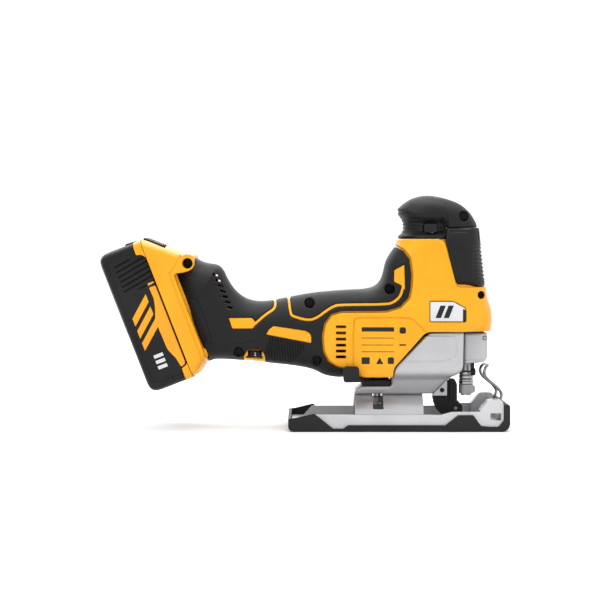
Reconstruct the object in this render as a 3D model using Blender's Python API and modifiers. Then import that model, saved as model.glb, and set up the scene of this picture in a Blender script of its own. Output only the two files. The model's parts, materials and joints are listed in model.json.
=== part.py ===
"""Cordless body-grip jigsaw, modelled as the separate pieces that it is assembled from.

Frame: metres, +Z up, +X towards the nose, +Y to the tool's left. The origin is the middle of the
sole's underside. The sizes below are in millimetres, and MM scales them to metres.
Run: blender --background --python part.py
"""

import math

import bmesh
import bpy
from mathutils import Matrix, Vector

MM = 0.001
GAP = 0.3  # clearance between pieces that touch
SEAM = 0.15  # half of the gap between the two halves of a clamshell
FAR = 200.0  # reach of a cutter that goes right through

# Shells
SKIN = 2.0  # thickness of the rubber overmold on the barrel
WALL = 3.0
SECTION_POINTS = 20  # points round a lofted section
BARREL_POWER = 2.5  # superellipse powers: 2 is an ellipse, 8 is nearly a box
TOWER_POWER = 3.6
KNOB_POWER = 2.8

# Barrel sections: centre x, centre z, tilt in degrees, half height, half width
BARREL = [
    (-169.2, 99.0, 21.2, 40.0, 30.0),
    (-146.0, 91.0, 16.0, 39.0, 30.0),
    (-134.0, 87.5, 10.0, 36.0, 29.5),
    (-125.0, 81.0, 7.0, 29.5, 29.0),
    (-114.0, 75.3, 3.0, 24.0, 29.0),
    (-100.0, 74.4, 0.0, 24.2, 29.0),
    (-84.0, 75.2, 0.0, 26.8, 29.5),
    (-68.0, 75.2, 0.0, 29.8, 30.0),
    (-54.0, 73.2, 0.0, 33.4, 30.5),
    (-40.0, 73.0, 0.0, 34.0, 31.0),
    (-14.0, 74.3, 0.0, 33.8, 31.0),
    (4.0, 74.5, 0.0, 33.0, 30.5),
]

# Upright sections: z, rear x, front x, half width
BAY = [
    (40.9, -36, 46, 22),
    (46, -46, 49, 28),
    (55, -54, 50, 31.5),
    (66, -57, 50, 32.5),
    (78, -57.5, 50, 33),
    (86, -54, 50, 32.5),
    (91, -46, 50, 30),
]
TOWER = [
    (75.8, 0, 72, 31),
    (79, 0, 74.2, 32),
    (86, 0, 74.5, 32.5),
    (93, 0, 74, 32),
    (100, 0, 70.6, 31),
    (107, 0, 69.6, 30),
    (110, 0, 66.3, 29.5),
    (130, 1, 64, 28),
    (147, 1.6, 61.5, 26.5),
]
TOWER_TOP = [(144, 1.5, 61.9, 26.7), (155.7, 1.6, 60.8, 25.6)]
HORN = [
    (100, -26, 14, 26),
    (104, -22, 12, 26),
    (112, -14, 12, 26),
    (120, -10.5, 12, 25.5),
    (130, -8.5, 12, 25),
    (137, -4, 10, 24.5),
    (142, 1, 6, 24),
]
FRONT_GRIP = [(110.4, 0, 68.8, 30.5), (130, 0, 67.1, 29.3), (146, 0, 65.4, 28), (155.9, 0, 64.1, 27)]
KNOB_NECK = [(147.4, 1.3, 34, 25.5), (150.5, 1.8, 34, 24), (153, 4.3, 34, 19.5), (159.6, 4.7, 34, 19)]
KNOB_HEAD = [
    (156.3, 4.5, 64, 23),
    (160.4, 4.2, 62.2, 24),
    (164, 3, 60, 24.5),
    (168.5, 1.5, 57.5, 24.5),
    (172, 2, 54, 23.5),
    (176, 6, 48.5, 21),
    (180, 13, 37, 14),
    (181.6, 18, 31, 8),
]

# Battery frame: a runs down the joint between pack and foot, b points from the pack into the tool
PACK_TILT = 21.2
PACK_ORIGIN = (-177.8, 0.0, 93.5)
PACK_HALF = 57.0
PACK_DEPTH = 36.0
PACK_HALF_WIDTH = 37.5
FOOT_HALF_WIDTH = 38.0
RAIL_HALF_WIDTH = 22.0

# Drive train
MOTOR_Z = 75.0
MODULE = 1.1556
PINION_TEETH = 9
GEAR_TEETH = 36
GEAR_Z = MOTOR_Z + MODULE * (PINION_TEETH + GEAR_TEETH) / 2
CRANK_PIN = (10.2, GEAR_Z - 8.0)  # y, z of the crank pin
PLUNGER_X = 55.0
PLUNGER_RADIUS = 4.0
PLUNGER_LOW = 36.0
PLUNGER_HIGH = 133.2

# Joint axes
LEVER_AXIS = (67.5, 0.0, 70.5)
ARM_AXIS = (35.4, 0.0, 29.2)
ROLLER_AXIS = (46.5, 0.0, 14.4)
BEVEL_AXIS = (0.0, 0.0, 2.0)
BOLT_AXIS = (-15.0, 0.0, 38.0)
DIAL_AXIS = (-110.3, -13.5, 58.0)
ORBIT_AXIS = (18.0, 32.0, 56.0)
SWITCH_CENTRE = (25.0, -2.5, 155.6)
ROLLER_RADIUS = 4.9
ARCH_RADIUS = 26.0
SOLE_FRONT = 84.8
SOLE_REAR = -84.7
SHOE_HALF_WIDTH = 37.2
SOLE_HALF_WIDTH = 39.2

# Screws: x, z, and how far the screw head's seat lies from the middle plane
HOUSING_SCREWS = [
    (-161.9, 128.4, 16.0),
    (-122.9, 60.1, 12.0),
    (-68.2, 97.5, 14.0),
    (-62.5, 53.4, 12.0),
    (-6.6, 108.4, 14.0),
    (50.9, 164.6, 12.0),
    (63.8, 104.0, 12.0),
]
BRACKET_SCREWS = [(-24, -28.6), (11, -28.6), (-24, 28.6), (11, 28.6)]
KNOB_SCREW = 5  # index of the screw that joins the knob's halves
SCREW_RECESS = 3.9
BOSS_RADIUS = 4.6

# Finishes: colour, roughness, metallic
YELLOW = ((0.93, 0.47, 0.012), 0.42, 0.0)
RUBBER = ((0.035, 0.036, 0.04), 0.62, 0.0)
BLACK_PLASTIC = ((0.02, 0.02, 0.022), 0.45, 0.0)
SILVER_PAINT = ((0.62, 0.61, 0.63), 0.38, 0.35)
STEEL = ((0.55, 0.55, 0.56), 0.3, 1.0)
CHROME = ((0.75, 0.75, 0.76), 0.12, 1.0)
COPPER = ((0.6, 0.28, 0.12), 0.35, 1.0)
BRASS = ((0.7, 0.5, 0.2), 0.35, 1.0)
LENS = ((0.9, 0.92, 0.95), 0.1, 0.0)


# ---------------------------------------------------------------- scene and helpers


def clear_scene():
    for obj in list(bpy.data.objects):
        bpy.data.objects.remove(obj, do_unlink=True)


def collection(name, helper=False):
    found = bpy.data.collections.new(name)
    bpy.context.scene.collection.children.link(found)
    found.hide_render = helper
    return found


clear_scene()
PARTS = collection("jigsaw")
CUTTERS = collection("cutters", helper=True)


def plane(x_axis, y_axis):
    """A rotation whose local X and Y are these axes."""
    x, y = Vector(x_axis), Vector(y_axis)
    return Matrix((x, y, x.cross(y))).transposed().to_4x4()


XY = plane((1, 0, 0), (0, 1, 0))
XZ = plane((1, 0, 0), (0, 0, 1))
YZ = plane((0, 1, 0), (0, 0, 1))
PACK_A = Vector((math.sin(math.radians(PACK_TILT)), 0, -math.cos(math.radians(PACK_TILT))))
PACK_B = Vector((math.cos(math.radians(PACK_TILT)), 0, math.sin(math.radians(PACK_TILT))))
PACK = Matrix.Translation(Vector(PACK_ORIGIN)) @ plane(PACK_A, PACK_B)


def pack_point(a, b, y=0.0):
    return Vector(PACK_ORIGIN) + PACK_A * a + PACK_B * b + Vector((0, y, 0))


def from_bmesh(bm):
    """A helper object, in metres, from a bmesh in millimetres."""
    bmesh.ops.recalc_face_normals(bm, faces=bm.faces)
    bmesh.ops.scale(bm, vec=(MM, MM, MM), verts=bm.verts)
    mesh = bpy.data.meshes.new("shape")
    bm.to_mesh(mesh)
    bm.free()
    obj = bpy.data.objects.new("shape", mesh)
    CUTTERS.objects.link(obj)
    return obj


def rounded(points, steps=3):
    """The outline with an arc at each corner whose third value is a radius."""
    outline = []
    for index, point in enumerate(points):
        here = Vector(point[:2])
        radius = point[2] if len(point) > 2 else 0
        if not radius:
            outline.append(here)
            continue
        to_last = Vector(points[index - 1][:2]) - here
        to_next = Vector(points[(index + 1) % len(points)][:2]) - here
        half = to_last.angle(to_next) / 2
        reach = min(radius / math.tan(half), 0.48 * min(to_last.length, to_next.length))
        radius = reach * math.tan(half)
        to_last.normalize()
        to_next.normalize()
        centre = here + (to_last + to_next).normalized() * radius / math.sin(half)
        start = here + to_last * reach - centre
        end = here + to_next * reach - centre
        sweep = start.angle(end)
        for step in range(steps + 1):
            t = step / steps
            blend = (start * math.sin((1 - t) * sweep) + end * math.sin(t * sweep)) / math.sin(sweep)
            outline.append(centre + blend)
    return outline


def prism(points, frame, low, high, steps=3):
    """A rounded outline in a frame's XY plane, extruded from low to high along the world axis it faces."""
    sign = -1 if frame is not XY and frame is not YZ else 1
    curve = bpy.data.curves.new("outline", "CURVE")
    curve.dimensions = "2D"
    curve.fill_mode = "BOTH"
    curve.extrude = abs(high - low) / 2 * MM
    outline = rounded(points, steps)
    spline = curve.splines.new("POLY")
    spline.points.add(len(outline) - 1)
    for target, point in zip(spline.points, outline):
        target.co = (point.x * MM, point.y * MM, 0, 1)
    spline.use_cyclic_u = True
    holder = bpy.data.objects.new("outline", curve)
    CUTTERS.objects.link(holder)
    shift = Matrix.Translation((0, 0, sign * (low + high) / 2))
    place = frame @ shift
    place.translation = place.translation * MM
    graph = bpy.context.evaluated_depsgraph_get()
    mesh = bpy.data.meshes.new_from_object(holder.evaluated_get(graph))
    bpy.data.objects.remove(holder, do_unlink=True)
    bm = bmesh.new()
    bm.from_mesh(mesh)
    bpy.data.meshes.remove(mesh)
    bmesh.ops.remove_doubles(bm, verts=bm.verts, dist=1e-6)
    bmesh.ops.transform(bm, matrix=place, verts=bm.verts)
    bmesh.ops.scale(bm, vec=(1 / MM,) * 3, verts=bm.verts)
    return from_bmesh(bm)


def box(low, high):
    size = Vector(high) - Vector(low)
    bm = bmesh.new()
    bmesh.ops.create_cube(bm, size=1)
    bmesh.ops.scale(bm, vec=size, verts=bm.verts)
    bmesh.ops.translate(bm, vec=(Vector(high) + Vector(low)) / 2, verts=bm.verts)
    return from_bmesh(bm)


AXES = {"x": Vector((1, 0, 0)), "y": Vector((0, 1, 0)), "z": Vector((0, 0, 1))}


def cylinder(radius, start, axis, length, segments=24, top=None):
    """A cylinder or cone from start, along +axis for length."""
    direction = AXES[axis] if isinstance(axis, str) else Vector(axis)
    turn = direction.to_track_quat("Z", "Y").to_matrix().to_4x4()
    middle = Vector(start) + direction * length / 2
    bm = bmesh.new()
    bmesh.ops.create_cone(
        bm,
        cap_ends=True,
        segments=segments,
        radius1=radius,
        radius2=radius if top is None else top,
        depth=length,
        matrix=Matrix.Translation(middle) @ turn,
    )
    return from_bmesh(bm)


def turned(profile, centre, axis, steps=24, ring=False):
    """A shape turned from (radius, height) points, closed into a ring where it has a bore."""
    mesh = bpy.data.meshes.new("profile")
    count = len(profile)
    edges = [(i, i + 1) for i in range(count - 1)] + ([(count - 1, 0)] if ring else [])
    mesh.from_pydata([(r * MM, 0, h * MM) for r, h in profile], edges, [])
    obj = bpy.data.objects.new("profile", mesh)
    CUTTERS.objects.link(obj)
    screw = obj.modifiers.new("Screw", "SCREW")
    screw.steps = screw.render_steps = steps
    screw.use_merge_vertices = True
    screw.merge_threshold = 1e-5
    bake(obj)
    turn = AXES[axis].to_track_quat("Z", "Y").to_matrix().to_4x4()
    obj.data.transform(Matrix.Translation(Vector(centre) * MM) @ turn)
    tidy(obj)
    return obj


def loft(rings):
    bm = bmesh.new()
    rows = [[bm.verts.new(point) for point in ring] for ring in rings]
    for row, following in zip(rows, rows[1:]):
        for i in range(len(row)):
            j = (i + 1) % len(row)
            bm.faces.new((row[i], row[j], following[j], following[i]))
    bm.faces.new(rows[0][::-1])
    bm.faces.new(rows[-1])
    bmesh.ops.triangulate(bm, faces=bm.faces)
    return from_bmesh(bm)


def superellipse(half_u, half_v, power):
    points = []
    for index in range(SECTION_POINTS):
        turn = 2 * math.pi * index / SECTION_POINTS
        c, s = math.cos(turn), math.sin(turn)
        u = half_u * math.copysign(abs(c) ** (2 / power), c)
        v = half_v * math.copysign(abs(s) ** (2 / power), s)
        points.append((u, v))
    return points


def barrel(inset, overrun=0.0):
    """The barrel grip, drawn in by this much all round and lengthened by the overrun at each end."""
    rings = []
    for x, z, tilt, half_height, half_width in BARREL:
        up = Vector((-math.sin(math.radians(tilt)), 0, math.cos(math.radians(tilt))))
        outline = superellipse(half_width - inset, half_height - inset, BARREL_POWER)
        rings.append([Vector((x, u, z)) + up * v for u, v in outline])
    for end, direction in ((0, -1), (-1, 1)):
        tilt = math.radians(BARREL[end][2])
        push = Vector((math.cos(tilt), 0, math.sin(tilt))) * overrun * direction
        rings[end] = [point + push for point in rings[end]]
    return loft(rings)


def section_at(table, z):
    """The rear x, front x and half width of an upright shape at this height."""
    rows = sorted(table)
    if z <= rows[0][0]:
        return rows[0][1:]
    for low, high in zip(rows, rows[1:]):
        if z <= high[0]:
            t = (z - low[0]) / (high[0] - low[0])
            return tuple(p + (q - p) * t for p, q in zip(low[1:], high[1:]))
    return rows[-1][1:]


def column(table, inset=0.0, low=None, high=None, power=TOWER_POWER):
    """An upright lofted shape between two heights, drawn in by this much all round."""
    low = table[0][0] if low is None else low
    high = table[-1][0] if high is None else high
    heights = [low] + [row[0] for row in table if low + 0.5 < row[0] < high - 0.5] + [high]
    rings = []
    for z in heights:
        rear, front, half_width = section_at(table, z)
        outline = superellipse((front - rear) / 2 - inset, half_width - inset, power)
        rings.append([Vector(((rear + front) / 2 + u, v, z)) for u, v in outline])
    return loft(rings)


def drop(obj):
    mesh = obj.data
    bpy.data.objects.remove(obj, do_unlink=True)
    bpy.data.meshes.remove(mesh)


def tidy(obj, flatten=False):
    """Welds the mesh's points, and with flatten merges the faces that lie in one plane."""
    bm = bmesh.new()
    bm.from_mesh(obj.data)
    bmesh.ops.remove_doubles(bm, verts=bm.verts, dist=2e-6)
    bmesh.ops.dissolve_degenerate(bm, edges=bm.edges, dist=2e-6)
    if flatten:
        bmesh.ops.dissolve_limit(bm, angle_limit=math.radians(0.4), verts=bm.verts, edges=bm.edges)
    bmesh.ops.recalc_face_normals(bm, faces=bm.faces)
    bm.to_mesh(obj.data)
    bm.free()


def bake(obj):
    """Turns the object's modifiers into its mesh."""
    graph = bpy.context.evaluated_depsgraph_get()
    mesh = bpy.data.meshes.new_from_object(obj.evaluated_get(graph))
    old = obj.data
    obj.modifiers.clear()
    obj.data = mesh
    bpy.data.meshes.remove(old)


def combine(target, others, operation, keep=False):
    for other in others:
        modifier = target.modifiers.new("Boolean", "BOOLEAN")
        modifier.operation = operation
        modifier.solver = "EXACT"
        modifier.object = other
        bake(target)
        if not keep:
            drop(other)
    return target


def join(target, *others):
    return combine(target, others, "UNION")


def cut(target, *others):
    return combine(target, others, "DIFFERENCE")


def common(target, *others):
    return combine(target, others, "INTERSECT")


def copy(obj):
    other = bpy.data.objects.new("shape", obj.data.copy())
    CUTTERS.objects.link(other)
    return other


def half_space(side):
    """Everything beyond the seam, on the right (-1) or the left (1)."""
    if side < 0:
        return box((-FAR * 2, -FAR, -FAR), (FAR, -SEAM, FAR * 2))
    return box((-FAR * 2, SEAM, -FAR), (FAR, FAR, FAR * 2))


def material(name, finish):
    colour, roughness, metallic = finish
    made = bpy.data.materials.new(name)
    made.use_nodes = True
    shader = made.node_tree.nodes["Principled BSDF"]
    shader.inputs["Base Color"].default_value = (*colour, 1)
    shader.inputs["Roughness"].default_value = roughness
    shader.inputs["Metallic"].default_value = metallic
    made.diffuse_color = (*colour, 1)
    return made


PIVOTS = {}


def body(name, pivot=(0, 0, 0), parent=None):
    """An empty on the joint's axis, which the body's pieces hang on."""
    empty = bpy.data.objects.new(name, None)
    PARTS.objects.link(empty)
    PIVOTS[empty] = Vector(pivot) * MM
    empty.parent = parent
    empty.location = PIVOTS[empty] - (PIVOTS[parent] if parent else Vector())
    return empty


def finish(obj, name, look, holder, smooth=35):
    """Names a shape, gives it its material and hangs it on its body."""
    tidy(obj, flatten=True)
    CUTTERS.objects.unlink(obj)
    PARTS.objects.link(obj)
    obj.name = name
    obj.data.name = name
    obj.data.materials.clear()
    obj.data.materials.append(material(name, look))
    obj.data.transform(Matrix.Translation(-PIVOTS[holder]))
    obj.parent = holder
    obj.data.shade_smooth()
    obj.data.set_sharp_from_angle(angle=math.radians(smooth))
    return obj


BODY = body("body")
ROTOR = body("rotor_body", (-35, 0, MOTOR_Z), BODY)
GEAR = body("gear_body", (34, 0, GEAR_Z), BODY)
PLUNGER = body("plunger_body", (PLUNGER_X, 0, 30), BODY)
COLLAR = body("collar_body", (PLUNGER_X, 0, 30), PLUNGER)
LEVER = body("release_lever_body", LEVER_AXIS, BODY)
ARM = body("roller_arm_body", ARM_AXIS, BODY)
ROLLER = body("roller_body", ROLLER_AXIS, ARM)
ORBIT = body("orbit_lever_body", ORBIT_AXIS, BODY)
SWITCH = body("switch_body", SWITCH_CENTRE, BODY)
DIAL = body("dial_body", DIAL_AXIS, BODY)
BEVEL_LEVER = body("bevel_lever_body", BOLT_AXIS, BODY)
SHOE = body("shoe_body", BEVEL_AXIS, BODY)
BATTERY = body("battery_body", PACK_ORIGIN, BODY)
LATCH = body("latch_body", pack_point(-55, -8), BATTERY)


# ---------------------------------------------------------------- shapes that several pieces share


def gear_case_outline(grow=0.0):
    """The silver gear case from the side."""
    g = grow
    return [
        (50.2 + g, 75.3 + g, 2),
        (23.2 - g / 2, 75.3 + g, 3),
        (-3.1 - g, 47.8 + g / 2, 4),
        (-4 - g, 33 + g),
        (-28 - g, 33 + g),
        (-32.4 - g, 30 + g),
        (-32.4 - g, 26 - g),
        (27.3 + g / 2, 26 - g, 3),
        (38.5 + g / 2, 37.7 - g, 6),
        (46 + g, 42.3 - g, 4),
        (50 + g, 47.5 - g, 4),
    ]


def gear_case_block(grow=0.0):
    """The gear case's solid form: its side outline crossed with its end outline."""
    g = grow
    side = prism(gear_case_outline(g), XZ, -FAR, FAR)
    end = prism(
        [
            (-12 - g, 20),
            (12 + g, 20),
            (12 + g, 26 - g),
            (17.2 + g, 38.6 - g),
            (30.5 + g, 42.5 - g, 4),
            (31.6 + g, 60),
            (31.6 + g, 90),
            (-31.6 - g, 90),
            (-31.6 - g, 60),
            (-30.5 - g, 42.5 - g, 4),
            (-17.2 - g, 38.6 - g),
            (-12 - g, 26 - g),
        ],
        YZ,
        -FAR,
        FAR,
    )
    return common(side, end)


def foot(grow=0.0):
    """The foot that the pack slides onto, with the round boss at its top corner."""
    g = grow
    outline = [
        (-57 - g, 0.4 - g),
        (-57 - g, 2.6 + g / 2, 2),
        (-38 - g, 24 + g, 6),
        (-26, 29 + g, 4),
        (44, 17 + g),
        (49.5 + g, 13.8 + g, 3),
        (56.2 + g, 4.9 + g / 2, 3),
        (57 + g, 0.4 - g),
    ]
    block = prism(outline, PACK, -FOOT_HALF_WIDTH - g, FOOT_HALF_WIDTH + g)
    x, z, _ = HOUSING_SCREWS[0]
    return join(block, cylinder(7 + g, (x, -29 - g, z), "y", 58 + 2 * g))


def screw_tubes(radius, low, high, skip=()):
    """Cylinders of one radius on every screw's axis, from low to high along Y."""
    tubes = []
    for index, (x, z, _) in enumerate(HOUSING_SCREWS):
        if index not in skip:
            tubes.append(cylinder(radius, (x, low, z), "y", high - low, segments=12))
    return tubes


def screw_hole(index):
    """The room for one screw: a recess for its head and a bore for its shank."""
    x, z, seat = HOUSING_SCREWS[index]
    recess = cylinder(SCREW_RECESS, (x, -seat, z), (0, -1, 0), 40, segments=12)
    bore = cylinder(1.9, (x, -seat - 1, z), "y", seat + 1 + 12, segments=8)
    return join(recess, bore)


def dial_pocket():
    x, y, z = DIAL_AXIS
    return join(
        cylinder(8, (x, y, z - 2.9), "z", 5.8),
        box((x - 5.5, -30, z - 3.6), (x + 5.5, y - 2, z + 3.6)),
    )


# ---------------------------------------------------------------- housing and grips


def housing():
    """The yellow clamshell with the barrel's inner tube, split down the middle."""
    bay = cut(column(BAY), box((30, -FAR, 0), (FAR, FAR, 47)))
    outer = join(barrel(SKIN + GAP), bay, column(TOWER), foot())
    outer = join(outer, column(HORN, SKIN + GAP, low=98, high=HORN[-1][0] - SKIN - GAP))
    top = common(column(TOWER_TOP), box((37.2, -FAR, 100), (FAR, FAR, FAR)))
    outer = join(outer, top)
    cavity = join(
        barrel(SKIN + GAP + WALL, overrun=-1),
        column(BAY, WALL, low=BAY[0][0] + WALL, high=BAY[-1][0] - WALL),
        column(TOWER, WALL, low=TOWER[0][0] + WALL, high=TOWER[-1][0] - WALL),
    )
    webs = screw_tubes(BOSS_RADIUS, -FAR, FAR, skip=(KNOB_SCREW,))
    roof = prism([(-80, -60), (-80, 18), (80, 18), (80, -60)], PACK, -FAR, FAR)
    rear_seat = cut(box((-68, -40, 40), (-60, 40, 110)), cylinder(8.3, (-70, 0, MOTOR_Z), "x", 12))
    front_seat = cut(box((-0.5, -40, 40), (5.5, 40, 95)), cylinder(8.3, (-2, 0, MOTOR_Z), "x", 10))
    axle_seat = box((14, -40, 90), (19, 40, 112))
    bush_seat = box((40, -40, 122), (70, 40, 127.9))
    floor = gear_case_block(WALL + GAP)
    cavity = cut(cavity, roof, floor, *webs, rear_seat, front_seat, axle_seat, bush_seat)
    pocket = [(-50, -5), (-50, 6), (-38, 16), (44, 11), (50, 3), (50, -5)]
    rail_channel = [(-90, -5), (-90, 15), (43.5, 15), (43.5, -5)]
    shell = cut(outer, cavity, gear_case_block(GAP))
    shell = cut(
        shell,
        box((26.5, -9, 70), (43, 9, 82)),  # pinion
        box((4, -4, 70), (28, 4, 82)),  # motor shaft
        cylinder(3.8, (10, 0, GEAR_Z), "x", 14, segments=16),  # gear axle
        cylinder(5.8, (PLUNGER_X, 0, 115), "z", 20),  # upper bush
        cylinder(5.2, (PLUNGER_X, 0, 130), "z", 40),  # plunger's upper end
        cylinder(6.5, (PLUNGER_X, 0, 60), "z", 30),  # plunger through the floor
        prism(rail_channel, PACK, -RAIL_HALF_WIDTH - 1.5, RAIL_HALF_WIDTH + 1.5),
        prism(pocket, PACK, 26.5, FOOT_HALF_WIDTH - WALL),
        prism(pocket, PACK, WALL - FOOT_HALF_WIDTH, -26.5),
        box((21, -8, 140), (29, 8, 150)),  # switch lead
        dial_pocket(),
    )
    for index in range(len(HOUSING_SCREWS)):
        if index != KNOB_SCREW:
            shell = cut(shell, screw_hole(index))
    for side, name in ((-1, "housing_right"), (1, "housing_left")):
        finish(common(copy(shell), half_space(side)), name, YELLOW, BODY)
    drop(shell)


def grip_overmold():
    """The black rubber over the barrel and the horn behind the tower, one moulding a side."""
    skin = join(barrel(0), column(HORN))
    skin = cut(
        skin,
        barrel(SKIN, overrun=3),
        column(HORN, SKIN, low=96, high=HORN[-1][0] - SKIN),
        column(BAY, -GAP, low=BAY[0][0] - 2, high=BAY[-1][0] + GAP),
        column(TOWER, -GAP, low=70, high=150),
        foot(GAP),
        prism([(-80, -80), (-80, 9), (80, 9), (80, -80)], PACK, -FAR, FAR),
        box((-37, -FAR, 30), (FAR, FAR, 60)),
        dial_pocket(),
        *screw_tubes(SCREW_RECESS + 0.2, -FAR, 0, skip=(0, KNOB_SCREW, 6)),
    )
    for side, name in ((-1, "grip_overmold_right"), (1, "grip_overmold_left")):
        finish(common(copy(skin), half_space(side)), name, RUBBER, BODY)
    drop(skin)


def front_grip():
    """The ribbed rubber pad round the tower's front."""
    side = [(44.6, 100), (44.2, 112, 3), (34.6, 147), (36.9, 150), (36.9, 170), (90, 170), (90, 100)]
    pad = common(column(FRONT_GRIP), prism(side, XZ, -FAR, FAR))
    pad = cut(pad, column(TOWER, -GAP, low=100, high=TOWER[-1][0] + GAP))
    pad = cut(pad, common(column(TOWER_TOP, -GAP, high=160), box((30, -FAR, 100), (FAR, FAR, FAR))))
    finish(pad, "front_grip", RUBBER, BODY)


def knob():
    """The palm knob on the tower, hollow and split down the middle."""
    outer = join(column(KNOB_HEAD, power=KNOB_POWER), column(KNOB_NECK, power=KNOB_POWER))
    floor, roof = KNOB_HEAD[0][0] + WALL, KNOB_HEAD[-1][0] - WALL - 1
    inner = column(KNOB_HEAD, WALL, low=floor, high=roof, power=KNOB_POWER)
    inner = join(inner, box((8, -15, 140), (31, 15, 165)))
    x, z, _ = HOUSING_SCREWS[KNOB_SCREW]
    inner = cut(inner, cylinder(BOSS_RADIUS, (x, -FAR, z), "y", FAR * 2, segments=16))
    sx, _, sz = SWITCH_CENTRE
    passage = box((sx - 5.3, -FAR, sz - 3.5), (sx + 5.3, FAR, sz + 3.5))
    shell = cut(outer, inner, passage, screw_hole(KNOB_SCREW))
    for side, name in ((-1, "knob_right"), (1, "knob_left")):
        finish(common(copy(shell), half_space(side)), name, RUBBER, BODY)
    drop(shell)


def housing_screws():
    for index, (x, z, seat) in enumerate(HOUSING_SCREWS):
        head = cylinder(3.4, (x, -seat - GAP, z), (0, -1, 0), 2.6, segments=16)
        shank = cylinder(1.5, (x, -seat - 1, z), "y", seat + 10, segments=10)
        finish(join(head, shank), f"housing_screw_{index + 1}", STEEL, BODY)


# ---------------------------------------------------------------- gear case and nose


def gear_case():
    """The silver gear case, hollow above and with a saddle below that the bevel arch turns in."""
    case = gear_case_block()
    side = [(46.8, 90), (26.5, 90), (26.5, 73), (2.5, 48.5), (2.5, 42), (36, 42), (44, 46.5), (46.8, 50)]
    end = [(-17, 42), (17, 42), (27.3, 46), (28.4, 90), (-28.4, 90), (-27.3, 46)]
    hollow = common(prism(side, XZ, -FAR, FAR), prism(end, YZ, -FAR, FAR))
    case = cut(
        case,
        hollow,
        cylinder(ARCH_RADIUS + 0.6, (-FAR, 0, BEVEL_AXIS[2]), "x", 2 * FAR, segments=36),
        cylinder(3.4, (BOLT_AXIS[0], 0, 10), "z", 40, segments=16),
        cylinder(6.6, (PLUNGER_X, 0, 30), "z", 60),
        box((4, -4, 71), (28, 4, 80)),
        cylinder(2.4, (ORBIT_AXIS[0], 20, ORBIT_AXIS[2]), "y", 20, segments=12),
    )
    finish(case, "gear_case", SILVER_PAINT, BODY)


def plunger_guide():
    """The neck in front of the gear case, with the lug that the release lever hangs on."""
    x, _, z = LEVER_AXIS
    neck = box((50.6, -12, 65), (62, 12, 75.5))
    lug = join(cylinder(3.3, (x, -6, z), "y", 12), box((60, -6, z - 3), (x, 6, z + 3.3)))
    neck = cut(
        join(neck, lug),
        cylinder(5.8, (PLUNGER_X, 0, 60), "z", 30),
        cylinder(1.7, (x, -10, z), "y", 20, segments=12),
    )
    finish(neck, "plunger_guide", SILVER_PAINT, BODY)
    pin = cylinder(1.4, (x, -18.5, z), "y", 37, segments=12)
    finish(pin, "lever_pin", STEEL, BODY)


def bushings():
    for name, low, high in (("plunger_bush_upper", 122.2, 127.7), ("plunger_bush_lower", 66, 75.4)):
        ring = [(5.5, high), (5.5, low), (4.2, low), (4.2, high)]
        finish(turned(ring, (PLUNGER_X, 0, 0), "z", ring=True), name, BRASS, BODY)


def worklight():
    """The small lamp beside the blade clamp, and its lens."""
    y, z = -11.0, 43.6
    stem = box((57.4, y - 1.6, z - 1.5), (60.2, y + 1.6, 64.7))
    lamp = join(stem, cylinder(2.8, (57.4, y, z), "x", 3.6, segments=20))
    lamp = cut(lamp, cylinder(1.9, (60.2, y, z), "x", 5, segments=16))
    finish(lamp, "led_housing", BLACK_PLASTIC, BODY)
    finish(cylinder(1.6, (60.5, y, z), "x", 0.9, segments=16, top=1.1), "led_lens", LENS, BODY)


def roller_arm_bracket():
    """The clevis under the gear case that the roller arm swings in."""
    x, _, z = ARM_AXIS
    outline = [(28.2, 24.9), (39.2, 24.9), (39.2, 36.6), (38.0, 36.3), (28.2, 26.1)]
    clevis = prism(outline, XZ, -9.5, 9.5)
    bore = cylinder(1.9, (x, -20, z), "y", 40, segments=12)
    clevis = cut(clevis, box((29.8, -5.6, 10), (60, 5.6, 50)), bore)
    finish(clevis, "roller_arm_bracket", SILVER_PAINT, BODY)


def roller_arm():
    """The black arm that backs the blade, its cross pin and its grooved roller."""
    x, _, z = ARM_AXIS
    rx, _, rz = ROLLER_AXIS
    outline = [
        (28.3, 24.3),
        (39.4, 24.3),
        (39.8, 20.3, 1),
        (44, 21.2),
        (48.2, 20.6, 2),
        (51.6, 16.5, 2),
        (51.8, 12, 2),
        (48, 9.6, 1),
        (36, 9.4, 2),
        (32, 13),
        (29.5, 18.5),
    ]
    arm = prism(outline, XZ, -5.3, 5.3)
    back = [(32, 24.8), (32, 20), (42.5, 20), (42.5, 36.3), (39.9, 36.3), (39.9, 25), (38.6, 24.8)]
    hook = prism(back, XZ, -4, 4)
    boss = cylinder(3.4, (x, -5.3, z), "y", 10.6, segments=16)
    web = box((x - 3.2, -5.3, 22), (x + 3.2, 5.3, z))
    trunnion = cylinder(1.6, (x, -9.3, z), "y", 18.6, segments=12)
    arm = join(arm, hook, boss, web, trunnion)
    arm = cut(arm, box((41, -3.1, 5), (60, 3.1, 22.5)), cylinder(1.8, (rx, -20, rz), "y", 40, segments=12))
    finish(arm, "roller_arm", BLACK_PLASTIC, ARM)
    finish(cylinder(1.5, (rx, -5.2, rz), "y", 10.4, segments=12), "roller_axle", STEEL, ARM)
    r = ROLLER_RADIUS
    rim = [(r, 2.7), (r, 0.9), (r - 1.1, 0.5), (r - 1.1, -0.5), (r, -0.9), (r, -2.7)]
    ring = rim + [(1.8, -2.7), (1.8, 2.7)]
    finish(turned(ring, (rx, 0, rz), "y", steps=20, ring=True), "guide_roller", STEEL, ROLLER)


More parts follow.
